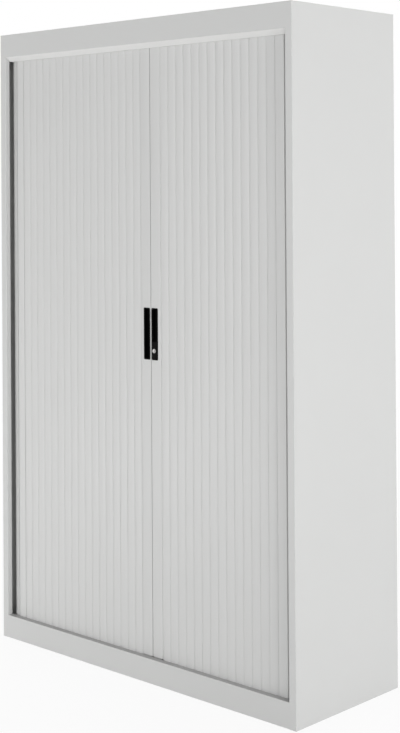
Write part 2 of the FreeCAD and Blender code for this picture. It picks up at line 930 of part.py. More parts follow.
def pull(side):
    """A recessed pull: a thin plate on the bar with a cup for the fingers behind it."""
    low_x, high_x = pull_span(side)
    back = Vector(0, 1, 0)
    plate = rounded_box(
        (low_x, pull_front_y, pull_base_z), (high_x, bar_front_y, pull_top_z), pull_corner_radius, back
    )
    cup = box(
        (low_x + pull_rim, bar_front_y, body_base(side)),
        (high_x - pull_rim, pull_floor_y, pull_top_z - pull_rim),
    )
    recess_low_x = low_x + pull_rim + pull_wall
    recess_high_x = high_x - pull_rim - pull_wall
    recess_top_z = pull_top_z - pull_rim - pull_wall
    recess = rounded_box(
        (recess_low_x, pull_front_y - cut_overrun, recess_base(side)),
        (recess_high_x, pull_floor_y - pull_wall, recess_top_z),
        pull_recess_radius,
        back,
    )
    body = plate.fuse(cup).cut(recess)
    if side > 0:
        body = body.fuse(pull_ramp_wedge(recess_low_x, recess_high_x, recess_base(side)))
        body = body.cut(lock_bore(lock_barrel_radius + lock_hole_fit))
    return body.removeSplitter()


def pull_ramp_wedge(low_x, high_x, base_z):
    """The slope at the lower end of the right pull's recess."""
    floor_y = pull_floor_y - pull_wall
    points = [
        Vector(low_x, bar_front_y, base_z),
        Vector(low_x, floor_y, base_z + pull_ramp),
        Vector(low_x, floor_y, base_z),
        Vector(low_x, bar_front_y, base_z),
    ]
    return Part.Face(Part.makePolygon(points)).extrude(Vector(high_x - low_x, 0, 0))


def lock_bore(radius):
    """A cut through the right bar and its pull for the lock."""
    start = (lock_x, pull_front_y - cut_overrun, lock_z)
    return rod(start, (0, 1, 0), radius, bar_back_y - pull_front_y + cut_overrun * 2)


def closing_bar_left():
    """Left closing bar, with its pocket for the pull."""
    bar = mirrored(bar_body(-seam_x + bar_seam_gap / 2, -left_bar_x))
    low_x, high_x = pull_span(-1)
    return bar.cut(pull_cut(low_x, high_x, body_base(-1) - pull_rim, pull_top_z))


def closing_bar_right():
    """Right closing bar, with its pocket for the pull and the lock's holes."""
    bar = bar_body(seam_x + bar_seam_gap / 2, right_bar_x)
    low_x, high_x = pull_span(1)
    pocket = pull_cut(low_x, high_x, body_base(1) - pull_rim, pull_top_z)
    return bar.cut([pocket, lock_bore(lock_barrel_radius + lock_hole_fit)])


def bar_glides(low_x, high_x):
    """The plastic glides at the lower and upper ends of a closing bar, each held by two pins."""
    half_tongue = groove_half - glide_side_clearance
    shapes = []
    for end_z, inwards, tip_z in (
        (bar_base_z, 1, groove_base_z),
        (bar_top_z, -1, groove_roof_z - glide_top_clearance),
    ):
        glide = box(
            (low_x + glide_end_inset, front_run_y - half_tongue, min(tip_z, end_z)),
            (high_x - glide_end_inset, front_run_y + half_tongue, max(tip_z, end_z)),
        )
        for x in (low_x + glide_pin_inset, high_x - glide_pin_inset):
            pin = rod((x, front_run_y, end_z), (0, 0, inwards), glide_pin_radius, glide_pin_length)
            glide = glide.fuse(pin)
        shapes.append(glide.removeSplitter())
    return shapes


def seam_seal():
    """Soft strip on the right bar's edge, between the two bars."""
    edge_x = seam_x + bar_seam_gap / 2
    return box(
        (edge_x - seal_thickness, bar_front_y + seal_front_inset, bar_base_z),
        (edge_x, bar_back_y - seal_back_inset, bar_top_z),
    )


def lock_housing():
    """Lock housing: a round bezel and a barrel through the bar."""
    bezel_y = pull_front_y - lock_bezel_thickness
    bezel = rod((lock_x, bezel_y, lock_z), (0, 1, 0), lock_bezel_radius, lock_bezel_thickness)
    barrel = rod((lock_x, pull_front_y, lock_z), (0, 1, 0), lock_barrel_radius, lock_rear_y - pull_front_y)
    bore = rod(
        (lock_x, bezel_y - cut_overrun, lock_z),
        (0, 1, 0),
        plug_radius + plug_fit,
        lock_rear_y - bezel_y + cut_overrun * 2,
    )
    return bezel.fuse(barrel).cut(bore).removeSplitter()


def lock_nut():
    """Nut that holds the lock against the back of the right bar."""
    nut = hex_prism((lock_x, bar_back_y, lock_z), (0, 1, 0), nut_across_flats, nut_thickness)
    return nut.cut(lock_bore(lock_barrel_radius + plug_fit))


def lock_plug():
    """Turning plug of the lock, with its keyway and the stepped tail for the hook."""
    front = pull_front_y - lock_bezel_thickness - plug_proud
    body = rod((lock_x, front, lock_z), (0, 1, 0), plug_radius, lock_rear_y - front)
    tail_length = hook_axial_gap + hook_thickness
    tail = rod((lock_x, lock_rear_y, lock_z), (0, 1, 0), plug_tail_radius, tail_length)
    keyway = box(
        (lock_x - keyway_width / 2, front - cut_overrun, lock_z - keyway_height / 2),
        (lock_x + keyway_width / 2, front + keyway_depth, lock_z + keyway_height / 2),
    )
    thread = rod(
        (lock_x, lock_rear_y + tail_length - hook_screw_length, lock_z),
        (0, 1, 0),
        hook_screw_radius + plug_fit,
        hook_screw_length + cut_overrun,
    )
    shoulder = rod((lock_x, lock_rear_y, lock_z), (0, 1, 0), plug_radius, hook_axial_gap)
    return body.fuse([shoulder, tail]).cut([keyway, thread]).removeSplitter()


def ring_sector(inner, outer, start_angle, end_angle):
    """A flat sector of a ring about the lock's axis, as thick as the hook, seen from the front."""
    def place(radius, angle):
        x, z = polar(radius, angle)
        return Vector(lock_x + x, hook_y, lock_z + z)

    middle = (start_angle + end_angle) / 2
    edges = [
        Part.Arc(place(outer, start_angle), place(outer, middle), place(outer, end_angle)).toShape(),
        Part.makeLine(place(outer, end_angle), place(inner, end_angle)),
        Part.Arc(place(inner, end_angle), place(inner, middle), place(inner, start_angle)).toShape(),
        Part.makeLine(place(inner, start_angle), place(outer, start_angle)),
    ]
    return Part.Face(Part.Wire(edges)).extrude(Vector(0, hook_thickness, 0))


def lock_hook():
    """Hook on the lock's tail. At rest it hangs down, and a quarter turn brings it round the keeper pin."""
    down = -90
    slot_inner = keeper_reach - keeper_pin_radius - hook_slot_clearance
    slot_outer = keeper_reach + keeper_pin_radius + hook_slot_clearance
    tip = slot_outer + hook_finger
    lead = down - hook_lead_angle
    closed = down + hook_closed_angle
    end = closed + hook_bridge_angle
    hub = rod((lock_x, hook_y, lock_z), (0, 1, 0), hook_hub_radius, hook_thickness)
    arm = ring_sector(plug_radius, slot_inner, lead, end)
    finger = ring_sector(slot_outer, tip, lead, end)
    bridge = ring_sector(slot_inner - hook_finger, tip, closed, end)
    bore = rod((lock_x, hook_y, lock_z), (0, 1, 0), plug_tail_radius + plug_fit, hook_thickness)
    return hub.fuse([arm, finger, bridge]).cut(bore).removeSplitter()


def hook_screw():
    """Screw that holds the hook on the plug."""
    head_y = hook_y + hook_thickness
    head = rod((lock_x, head_y, lock_z), (0, 1, 0), hook_screw_head_radius, hook_screw_head_thickness)
    shank = rod((lock_x, head_y - hook_screw_reach, lock_z), (0, 1, 0), hook_screw_radius, hook_screw_reach)
    return head.fuse(shank).removeSplitter()


def lock_keeper():
    """Plate and pin on the back of the left bar, which the hook catches."""
    half = keeper_plate_side / 2
    plate_low = keeper_x - half
    plate = box(
        (plate_low, bar_back_y, lock_z - half),
        (plate_low + keeper_plate_side, bar_back_y + keeper_plate_thickness, lock_z + half),
    )
    tip_y = hook_y + hook_thickness + keeper_pin_tip_gap
    pin = rod((keeper_x, bar_back_y, lock_z), (0, 1, 0), keeper_pin_radius, tip_y - bar_back_y)
    return plate.fuse(pin).removeSplitter()


def foot_bracket(x, y):
    """Folded bracket on a side panel, which holds one foot."""
    side = 1 if x > 0 else -1
    wall_x = side * side_inner_x
    inner_x = wall_x - side * bracket_length
    half = bracket_width / 2
    bracket_base_z = floor_height - bracket_drop
    top_z = bracket_base_z + bracket_thickness
    plate = box(
        (min(wall_x, inner_x), y - half, bracket_base_z),
        (max(wall_x, inner_x), y + half, top_z),
    )
    skirt_x = inner_x + side * bracket_thickness
    skirt = box(
        (min(inner_x, skirt_x), y - half, top_z - bracket_skirt),
        (max(inner_x, skirt_x), y + half, top_z),
    )
    hole = rod(
        (x, y, bracket_base_z - cut_overrun),
        (0, 0, 1),
        foot_spindle_radius + bracket_hole_clearance,
        bracket_thickness + cut_overrun * 2,
    )
    flange_x = wall_x - side * sheet
    base_flange = box(
        (min(wall_x, flange_x), y - half, floor_height - panel_flange),
        (max(wall_x, flange_x), y + half, top_z),
    )
    return plate.fuse(skirt).cut([hole, base_flange]).removeSplitter()


def foot_nut(x, y):
    """Threaded nut on a foot bracket."""
    base_z = floor_height - bracket_drop + bracket_thickness
    nut = hex_prism((x, y, base_z), (0, 0, 1), foot_nut_across_flats, foot_nut_height)
    bore = rod((x, y, base_z), (0, 0, 1), foot_spindle_radius + foot_fit, foot_nut_height)
    return nut.cut(bore)


def foot_pad(x, y):
    """Pad of a levelling foot, which stands on the floor."""
    pad = rod((x, y, 0), (0, 0, 1), foot_pad_radius, foot_pad_height)
    socket = rod(
        (x, y, foot_pad_height - foot_pad_socket), (0, 0, 1), foot_spindle_radius + foot_fit, foot_pad_socket
    )
    return pad.cut(socket)


def foot_spindle(x, y):
    """Threaded spindle of a levelling foot, with a screwdriver slot in its top."""
    base_z = foot_pad_height - foot_pad_socket
    top_z = floor_height - sheet - foot_top_gap
    spindle = rod((x, y, base_z), (0, 0, 1), foot_spindle_radius, top_z - base_z)
    slot = box(
        (x - foot_spindle_radius, y - foot_slot_width / 2, top_z - foot_slot_depth),
        (x + foot_spindle_radius, y + foot_slot_width / 2, top_z),
    )
    return spindle.cut(slot)


def hole_plug(x, y):
    """Cap in the cabinet floor over a foot."""
    head = rod((x, y, floor_height), (0, 0, 1), plug_head_radius, plug_head_thickness)
    stem_radius = plug_hole_radius - plug_stem_fit
    stem = rod((x, y, floor_height - sheet), (0, 0, 1), stem_radius, sheet)
    return head.fuse(stem).removeSplitter()


def save_housing():
    """The folded sheet parts of the housing."""
    right = side_panel()
    save("side_right", [right])
    save("side_left", [mirrored(right)])
    save("top_panel", [top_panel()])
    save("top_rail", [top_rail()])
    save("ceiling_panel", [ceiling_panel()])
    save("base_panel", [base_panel()])
    save("bottom_rail", [bottom_rail()])
    save("rear_plinth", [rear_plinth()])
    save("back_panel", [back_panel()])
    save("back_rivets", rivets())
    right_liner = liner()
    save("liner_right", [right_liner])
    save("liner_left", [mirrored(right_liner)])
    save("inner_back", [inner_back()])


def save_shelving():
    """The slotted uprights, the shelves and their clips."""
    for place, low_y in upright_fronts().items():
        post = upright(low_y)
        save("upright_" + place + "_right", [post])
        save("upright_" + place + "_left", [mirrored(post)])
    for number, top_z in enumerate(shelf_levels(), 1):
        save("shelf_%d" % number, [shelf(top_z)])
        clips = []
        for low_y in upright_fronts().values():
            clips.append(shelf_clip(1, low_y, top_z))
            clips.append(shelf_clip(-1, low_y, top_z))
        save("shelf_clips_%d" % number, clips)


def save_curtains():
    """The tracks, the slats and the end stops."""
    save("bottom_track_right", [bottom_track(seam_x)])
    save("bottom_track_left", [mirrored(bottom_track(-seam_x))])
    save("top_track_right", [top_track(seam_x)])
    save("top_track_left", [mirrored(top_track(-seam_x))])
    save("curtain_stops", curtain_stops())
    right_first = right_bar_x + slat_gap / 2
    left_first = -left_bar_x + slat_gap / 2
    save("slats_right", front_slats(right_first))
    save("tail_slats_right", tail_slats(right_first))
    save("slats_left", [mirrored(shape) for shape in front_slats(left_first)])
    save("tail_slats_left", [mirrored(shape) for shape in tail_slats(left_first)])


def save_bars():
    """The closing bars with their pulls, glides, seal and lock."""
    half_gap = bar_seam_gap / 2
    save("closing_bar_left", [closing_bar_left()])
    save("closing_bar_right", [closing_bar_right()])
    save("bar_glides_left", bar_glides(left_bar_x, seam_x - half_gap))
    save("bar_glides_right", bar_glides(seam_x + half_gap, right_bar_x))
    save("pull_left", [pull(-1)])
    save("pull_right", [pull(1)])
    save("seam_seal", [seam_seal()])
    save("lock_housing", [lock_housing()])
    save("lock_nut", [lock_nut()])
    save("lock_plug", [lock_plug()])
    save("lock_hook", [lock_hook()])
    save("hook_screw", [hook_screw()])
    save("lock_keeper", [lock_keeper()])


def save_feet():
    """The levelling feet with their brackets, nuts and the caps over them."""
    places = foot_places()
    save("foot_brackets", [foot_bracket(x, y) for x, y in places.values()])
    save("foot_nuts", [foot_nut(x, y) for x, y in places.values()])
    save("foot_hole_plugs", [hole_plug(x, y) for x, y in places.values()])
    for name, (x, y) in places.items():
        save("foot_pad_" + name, [foot_pad(x, y)])
        save("foot_spindle_" + name, [foot_spindle(x, y)])


def report_travel():
    """Print the sizes that the joints' ranges follow."""
    left_first = -left_bar_x + slat_gap / 2
    right_first = right_bar_x + slat_gap / 2
    left_travel = straight_slat_count(left_first) * slat_pitch - bar_park_gap
    right_travel = straight_slat_count(right_first) * slat_pitch - bar_park_gap
    print("left travel %.2f, right travel %.2f" % (left_travel, right_travel))
    print("lock axis x %.2f z %.2f" % (lock_x, lock_z))
    print("shelf tops", ["%.1f" % level for level in shelf_levels()])


os.makedirs("parts", exist_ok=True)
save_housing()
save_shelving()
save_curtains()
save_bars()
save_feet()
report_travel()
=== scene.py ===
"""Looks of a roll front cabinet: grey folded steel, two ribbed roller curtains and black recessed pulls.

Lengths are in metres unless a value is multiplied by MM. X runs to the right, Y to the back, Z up.
"""
import json
import logging
import math
from contextlib import contextmanager
from dataclasses import dataclass
from enum import Enum
from typing import Callable, Iterator

import bmesh
import bpy
from mathutils import Matrix, Vector


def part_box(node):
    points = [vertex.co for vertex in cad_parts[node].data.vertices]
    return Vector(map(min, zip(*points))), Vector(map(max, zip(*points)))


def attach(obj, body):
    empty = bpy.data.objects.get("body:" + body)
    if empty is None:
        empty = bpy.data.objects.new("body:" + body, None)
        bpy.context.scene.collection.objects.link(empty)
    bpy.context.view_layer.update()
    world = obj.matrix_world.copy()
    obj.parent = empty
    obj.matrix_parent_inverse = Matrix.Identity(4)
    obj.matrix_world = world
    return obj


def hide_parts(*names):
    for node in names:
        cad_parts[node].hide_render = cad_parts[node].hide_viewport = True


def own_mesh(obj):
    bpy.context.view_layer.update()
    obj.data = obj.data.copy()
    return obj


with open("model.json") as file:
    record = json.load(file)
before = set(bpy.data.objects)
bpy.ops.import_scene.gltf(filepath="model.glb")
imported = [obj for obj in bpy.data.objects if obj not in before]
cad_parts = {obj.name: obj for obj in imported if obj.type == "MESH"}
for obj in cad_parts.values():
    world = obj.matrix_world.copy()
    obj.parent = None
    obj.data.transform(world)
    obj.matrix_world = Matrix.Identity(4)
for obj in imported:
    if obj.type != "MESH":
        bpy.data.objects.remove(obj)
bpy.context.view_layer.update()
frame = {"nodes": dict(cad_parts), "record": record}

LOG = logging.getLogger("cabinet")
MM = 0.001
PHOTO_HEIGHT_PX = 733
CUT_OVERRUN = 5 * MM
PLACE_TOLERANCE = 0.02 * MM
PARALLEL = 0.99
SMOOTH_ANGLE = math.radians(35)
SMALL_ROUND_FLATS = 3
LARGE_ROUND_FLATS = 4
SLAT_DEPTH = 7.0 * MM
PULL_WALL = 1.2 * MM
LOCK_HOLE_RADIUS = 8.2 * MM
LOCK_HOLE_SIDES = 40

Node = bpy.types.Node
Piece = bpy.types.Object
Socket = bpy.types.NodeSocket
Test = Callable[[Vector, Vector], bool]
Place = tuple[float, float, float]
Colour = tuple[float, float, float]


class Side(Enum):
    """The two halves of the front, seen from the front."""

    LEFT = -1
    RIGHT = 1

    @property
    def word(self) -> str:
        """The side's name as the nodes spell it."""
        return self.name.lower()

    @property
    def body(self) -> str:
        """The body that the side's curtain moves with."""
        return f"{self.word}_shutter"

    @property
    def joint(self) -> str:
        """The joint that slides the side's curtain."""
        return f"{self.word}_shutter_slide"


PULL_RECESS_RISE = {Side.LEFT: 3.2 * MM, Side.RIGHT: 52.0 * MM}


class Pick(Enum):
    """What an edit works on. The value is Blender's name for the selection mode."""

    VERTICES = "VERT"
    EDGES = "EDGE"
    FACES = "FACE"


class Axis(Enum):
    """A direction of the cabinet."""

    X = 0
    Y = 1
    Z = 2

    @property
    def unit(self) -> Vector:
        """The unit vector along the axis."""
        vector = Vector((0, 0, 0))
        vector[self.value] = 1
        return vector

    @property
    def turn(self) -> tuple[float, float, float]:
        """The rotation that lays an upright rod along the axis."""
        quarter = math.pi / 2
        return {Axis.X: (0, quarter, 0), Axis.Y: (-quarter, 0, 0), Axis.Z: (0, 0, 0)}[self]


def everything(middle: Vector, way: Vector) -> bool:
    """A test that every element passes."""
    return True


def along(axis: Axis) -> Test:
    """A test for the edges that run along an axis."""
    return lambda middle, way: abs(way[axis.value]) > PARALLEL


def at(axis: Axis, place: float) -> Test:
    """A test for what lies at a place along an axis."""
    return lambda middle, way: abs(middle[axis.value] - place) < PLACE_TOLERANCE


def both(first: Test, second: Test) -> Test:
    """A test for what passes two others."""
    return lambda middle, way: first(middle, way) and second(middle, way)


def deselect_all() -> None:
    """Leave nothing selected, in object mode."""
    if bpy.context.mode != "OBJECT":
        bpy.ops.object.mode_set(mode="OBJECT")
    bpy.ops.object.select_all(action="DESELECT")


class Shape:
    """One piece of the cabinet, shaped by edit mode operators with its place in its mesh."""

    def __init__(self, obj: Piece, name: str) -> None:
        """Take a mesh object over.

        Args:
            obj: The object to shape.
            name: The piece's name.
        """
        self.obj = obj
        self.obj.name = name
        self.obj.data.name = name
        self.obj.data.materials.clear()

    @classmethod
    def block(cls, name: str, low: Vector, high: Vector) -> "Shape":
        """A box between two opposite corners.

        Args:
            name: The piece's name.
            low: Its lowest corner.
            high: Its highest corner.

        Returns:
            The new shape.
        """
        deselect_all()
        low, high = Vector(low), Vector(high)
        bpy.ops.mesh.primitive_cube_add(size=1, location=(low + high) / 2)
        return cls._placed(name, high - low)

    @classmethod
    def rod(
        cls, name: str, start: Vector, axis: Axis, radius: float, length: float, sides: int
    ) -> "Shape":
        """A round bar from the centre of its first end along an axis.

        Args:
            name: The piece's name.
            start: The centre of the end where it begins.
            axis: The way it runs.
            radius: Its radius.
            length: Its length.
            sides: How many flat sides make it round.

        Returns:
            The new shape.
        """
        deselect_all()
        middle = Vector(start) + axis.unit * length / 2
        bpy.ops.mesh.primitive_cylinder_add(
            vertices=sides, radius=radius, depth=length, location=middle, rotation=axis.turn
        )
        return cls._placed(name, Vector((1, 1, 1)))

    @classmethod
    def ring(
        cls, name: str, base: Vector, inner: float, outer: float, height: float, arc: "Arc"
    ) -> "Shape":
        """An upright wall swept about a vertical line through part of a turn.

        Args:
            name: The piece's name.
            base: The foot of the line.
            inner: The wall's inner radius.
            outer: Its outer radius.
            height: Its height.
            arc: The part of the turn that it covers.

        Returns:
            The new shape.
        """
        deselect_all()
        base = Vector(base)
        radial = Vector((math.cos(arc.start), math.sin(arc.start), 0))
        middle = base + radial * (inner + outer) / 2 + Axis.Z.unit * height / 2
        bpy.ops.mesh.primitive_plane_add(size=1, location=middle, rotation=(math.pi / 2, 0, arc.start))
        bpy.context.object.scale = (outer - inner, height, 1)
        shape = cls._placed(name, None)
        with shape.edit(Pick.FACES, everything):
            bpy.ops.mesh.spin(
                steps=arc.steps, angle=-arc.span, center=base, axis=Axis.Z.unit, use_auto_merge=False
            )
        shape.face_outwards()
        return shape

    @classmethod
    def _placed(cls, name: str, scale: Vector | None) -> "Shape":
        """Apply the new primitive's place and size to its mesh."""
        obj = bpy.context.object
        if scale is not None:
            obj.scale = scale
        bpy.ops.object.transform_apply(location=True, rotation=True, scale=True)
        return cls(obj, name)

    @classmethod
    def group(cls, name: str, shapes: list["Shape"]) -> "Shape":
        """Put shapes into the first one's mesh, without welding them.

        Args:
            name: The name of what they make.
            shapes: The shapes.

        Returns:
            The first shape, with all of them in it.
        """
        deselect_all()
        for shape in shapes:
            shape.obj.select_set(True)
        bpy.context.view_layer.objects.active = shapes[0].obj
        bpy.ops.object.join()
        return cls(shapes[0].obj, name)

    def take(self) -> None:
        """Select this shape alone and make it the active one."""
        deselect_all()
        bpy.context.view_layer.objects.active = self.obj
        self.obj.select_set(True)

    @contextmanager
    def edit(self, pick: Pick, test: Test) -> Iterator[int]:
        """Open the mesh in edit mode with the elements selected that pass a test.

        Args:
            pick: What is selected.
            test: Takes an element's middle, and its normal or, for an edge, its direction.

        Yields:
            How many elements are selected.
        """
        self.take()
        bpy.ops.object.mode_set(mode="EDIT")
        bpy.ops.mesh.select_mode(type=pick.value)
        bpy.ops.mesh.select_all(action="DESELECT")
        mesh = bmesh.from_edit_mesh(self.obj.data)
        count = 0
        for element, middle, way in self._elements(mesh, pick):
            if test(middle, way):
                element.select_set(True)
                count += 1
        mesh.select_flush_mode()
        bmesh.update_edit_mesh(self.obj.data)
        yield count
        bpy.ops.object.mode_set(mode="OBJECT")

    @staticmethod
    def _elements(mesh: bmesh.types.BMesh, pick: Pick) -> list[tuple]:
        """Each element with its middle and its normal or direction."""
        if pick is Pick.VERTICES:
            return [(v, v.co.copy(), v.normal.copy()) for v in mesh.verts]
        if pick is Pick.FACES:
            return [(f, f.calc_center_median(), f.normal.copy()) for f in mesh.faces]
        found = []
        for edge in mesh.edges:
            first, last = (v.co for v in edge.verts)
            found.append((edge, (first + last) / 2, (last - first).normalized()))
        return found

    def bevel(self, test: Test, width: float, segments: int) -> None:
        """Round the edges that pass a test.

        Args:
            test: Takes an edge's middle and direction.
            width: How far the rounding reaches on each side.
            segments: How many flats make the rounding.
        """
        with self.edit(Pick.EDGES, test) as count:
            if count:
                bpy.ops.mesh.bevel(offset=width, segments=segments, affect="EDGES", clamp_overlap=True)

    def split(self, axis: Axis, cuts: int) -> None:
        """Divide every edge along an axis into equal parts."""
        with self.edit(Pick.EDGES, along(axis)):
            bpy.ops.mesh.subdivide(number_cuts=cuts)

    def shift(self, test: Test, offset: Vector) -> None:
        """Move the vertices that pass a test."""
        with self.edit(Pick.VERTICES, test):
            bpy.ops.transform.translate(value=offset)

    def shorten(self, height: float, amount: float) -> None:
        """Draw both ends in on an upright part that stands at height 0.

        Args:
            height: How tall the part is.
            amount: How far each end comes in.
        """
        self.shift(at(Axis.Z, 0), Axis.Z.unit * amount)
        self.shift(at(Axis.Z, height), Axis.Z.unit * -amount)

    def turn(self, centre: Vector, axis: Axis, angle: float) -> None:
        """Turn the whole mesh about an axis through a point, anticlockwise seen from the axis's tip."""
        with self.edit(Pick.FACES, everything):
            bpy.ops.transform.rotate(value=-angle, orient_axis=axis.name, center_override=centre)

    def inset(self, test: Test, thickness: float, depth: float) -> None:
        """Draw the faces that pass a test in from their rims, and out by a depth or, if negative, in."""
        with self.edit(Pick.FACES, test) as count:
            if count:
                bpy.ops.mesh.inset(thickness=thickness, depth=depth)

    def cut(self, *cutters: "Shape") -> None:
        """Take other shapes away from this one, and remove them."""
        for cutter in cutters:
            self._combine(cutter, "DIFFERENCE")

    def weld(self, *others: "Shape") -> None:
        """Make this shape and others one closed body."""
        for other in others:
            self._combine(other, "UNION")

    def _combine(self, other: "Shape", operation: str) -> None:
        """Apply a boolean with another shape, which is then removed."""
        self.take()
        modifier = self.obj.modifiers.new("combine", "BOOLEAN")
        modifier.operation = operation
        modifier.solver = "EXACT"
        modifier.object = other.obj
        bpy.ops.object.modifier_apply(modifier=modifier.name)
        bpy.data.objects.remove(other.obj)

    def mirror(self) -> None:
        """Swap left and right about the cabinet's middle plane."""
        with self.edit(Pick.FACES, everything):
            bpy.ops.transform.resize(value=(-1, 1, 1), center_override=(0, 0, 0))
        self.face_outwards()

    def face_outwards(self) -> None:
        """Merge doubled vertices and turn every face outwards."""
        with self.edit(Pick.FACES, everything):
            bpy.ops.mesh.remove_doubles(threshold=PLACE_TOLERANCE / 2)
            bpy.ops.mesh.select_all(action="SELECT")
            bpy.ops.mesh.normals_make_consistent(inside=False)

    def copy(self, name: str, offset: Vector) -> "Shape":
        """A copy with its own mesh, moved by an offset."""
        twin = self.obj.copy()
        twin.data = self.obj.data.copy()
        bpy.context.scene.collection.objects.link(twin)
        twin.data.transform(Matrix.Translation(offset))
        return Shape(twin, name)

    def dress(self, finish: "Finish", body: str, nodes: tuple[str, ...]) -> Piece:
        """Give the finished piece its material, its body and the nodes that it stands for.

        Args:
            finish: The finish of its surface.
            body: The body that it moves with.
            nodes: The nodes that it replaces.

        Returns:
            The finished object.
        """
        self.take()
        bpy.ops.object.shade_smooth_by_angle(angle=SMOOTH_ANGLE)
        self.obj.data.materials.append(finish.material())
        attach(self.obj, body)
        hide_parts(*nodes)
        LOG.info("%s: %d faces, with %s", self.obj.name, len(self.obj.data.polygons), body)
        return self.obj


def front_centre(node: str) -> Vector:
    """The middle of the front of a node's box."""
    low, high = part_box(node)
    centre = (low + high) / 2
    centre.y = low.y
    return centre


def lock_hole(low: Vector, high: Vector) -> Shape:
    """What the lock needs out of a part, from its front to its back.

    Args:
        low: The part's lowest corner.
        high: Its highest corner.

    Returns:
        The space to cut out.
    """
    start = front_centre("lock_plug")
    start.y = low.y - CUT_OVERRUN
    length = high.y - low.y + CUT_OVERRUN * 2
    return Shape.rod("lock_hole", start, Axis.Y, LOCK_HOLE_RADIUS, length, LOCK_HOLE_SIDES)


@dataclass(frozen=True)
class Arc:
    """Part of a turn about a vertical line, anticlockwise seen from above."""

    start: float
    span: float
    steps: int


class Graph:
    """Places shader nodes in one tree and joins them."""

    def __init__(self, tree: bpy.types.NodeTree) -> None:
        """Work on an empty tree."""
        self.tree = tree
        tree.nodes.clear()

    def add(self, kind: str, **settings: object) -> Node:
        """Add a node and set its properties.

        Args:
            kind: The node's type.
            settings: Properties of the node, by name.

        Returns:
            The new node.
        """
        node = self.tree.nodes.new(kind)
        for name, value in settings.items():
            setattr(node, name, value)
        return node

    def give(self, socket: Socket, value: object) -> None:
        """Set a socket to a value, or join it to another socket."""
        if isinstance(value, Socket):
            self.tree.links.new(value, socket)
        else:
            socket.default_value = value

    def feed(self, node: Node, **inputs: object) -> Node:
        """Set or join inputs of a node. A name's underscores stand for spaces."""
        for name, value in inputs.items():
            self.give(node.inputs[name.replace("_", " ")], value)
        return node

    def chain(self, kind: str, operation: str, *values: object) -> Node:
        """Add a node of sums, with its inputs in order."""
        node = self.add(kind, operation=operation)
        for socket, value in zip(node.inputs, values):
            self.give(socket, value)
        return node

    def sum(self, operation: str, *values: object) -> Socket:
        """Work out one number from others, which are numbers or sockets."""
        return self.chain("ShaderNodeMath", operation, *values).outputs[0]

    def vector(self, operation: str, *values: object) -> Node:
        """Work something out from vectors, which are sockets."""
        return self.chain("ShaderNodeVectorMath", operation, *values)

    def scaled(self, vector: Socket, factor: object) -> Socket:
        """A colour or vector times a number."""
        return self.feed(self.vector("SCALE", vector), Scale=factor).outputs[0]

    def noise(self, **inputs: object) -> Socket:
        """A cloudy pattern between 0 and 1."""
        return self.feed(self.add("ShaderNodeTexNoise"), **inputs).outputs["Fac"]

    def mix(self, share: object, first: object, second: object) -> Socket:
        """Mix two colours by a share, where each is a colour or a socket."""
        node = self.add("ShaderNodeMix", data_type="RGBA")
        by_name = {"Factor_Float": share, "A_Color": first, "B_Color": second}
        for socket in node.inputs:
            if socket.identifier in by_name:
                self.give(socket, by_name[socket.identifier])
        return next(s for s in node.outputs if s.identifier == "Result_Color")


@dataclass(frozen=True)
class EffectPlan:
    """A node group: its name, its sockets by name and kind, and what fills it."""

    name: str
    inputs: dict[str, str]
    outputs: dict[str, str]
    fill: Callable[["Graph", Node, Node], None]


NOISE_MIDDLE = 0.5
COARSE_SCALE = 0.22
COARSE_HEIGHT = 0.6
GRAIN_MIDDLE = 0.8
# Painted edge highlight with some wear: how strongly noise breaks up its mask, and the bevel samples that
# find the edges.
WEAR_AND_HIGHLIGHT_CONTRAST = 6.0
WEAR_AND_HIGHLIGHT_SAMPLES = 4
DUST_FALLOFF = 3.0


def fill_grain(graph: Graph, given: Node, result: Node) -> None:
    """Two sizes of rounded bumps, as fine powder coat or moulded plastic has."""
    place = given.outputs["Place"]
    scale = graph.sum("DIVIDE", 1.0, given.outputs["Size"])
    fine = graph.noise(Vector=place, Scale=scale, Detail=2.0, Roughness=0.55)
    coarse = graph.noise(Vector=place, Scale=graph.sum("MULTIPLY", scale, COARSE_SCALE), Detail=1.0)
    height = graph.sum("MULTIPLY_ADD", coarse, COARSE_HEIGHT, fine)
    graph.feed(result, Height=height, Speck=graph.sum("SUBTRACT", height, GRAIN_MIDDLE))


def fill_drift(graph: Graph, given: Node, result: Node) -> None:
    """A slow change of brightness over a surface."""
    scale = graph.sum("DIVIDE", 1.0, given.outputs["Size"])
    cloud = graph.noise(Vector=given.outputs["Place"], Scale=scale, Detail=3.0, Roughness=0.6)
    centred = graph.sum("SUBTRACT", cloud, NOISE_MIDDLE)
    factor = graph.sum("MULTIPLY_ADD", centred, given.outputs["Amount"], 1.0)
    graph.feed(result, Colour=graph.scaled(given.outputs["Colour"], factor))


def fill_lines(graph: Graph, given: Node, result: Node) -> None:
    """Fine lines along one way, as an extruded or drawn part has."""
    stretched = graph.vector("MULTIPLY", given.outputs["Place"], given.outputs["Stretch"]).outputs[0]
    scale = graph.sum("DIVIDE", 1.0, given.outputs["Size"])
    height = graph.noise(Vector=stretched, Scale=scale, Detail=3.0, Roughness=0.65)
    graph.feed(result, Height=height, Line=graph.sum("SUBTRACT", height, NOISE_MIDDLE))


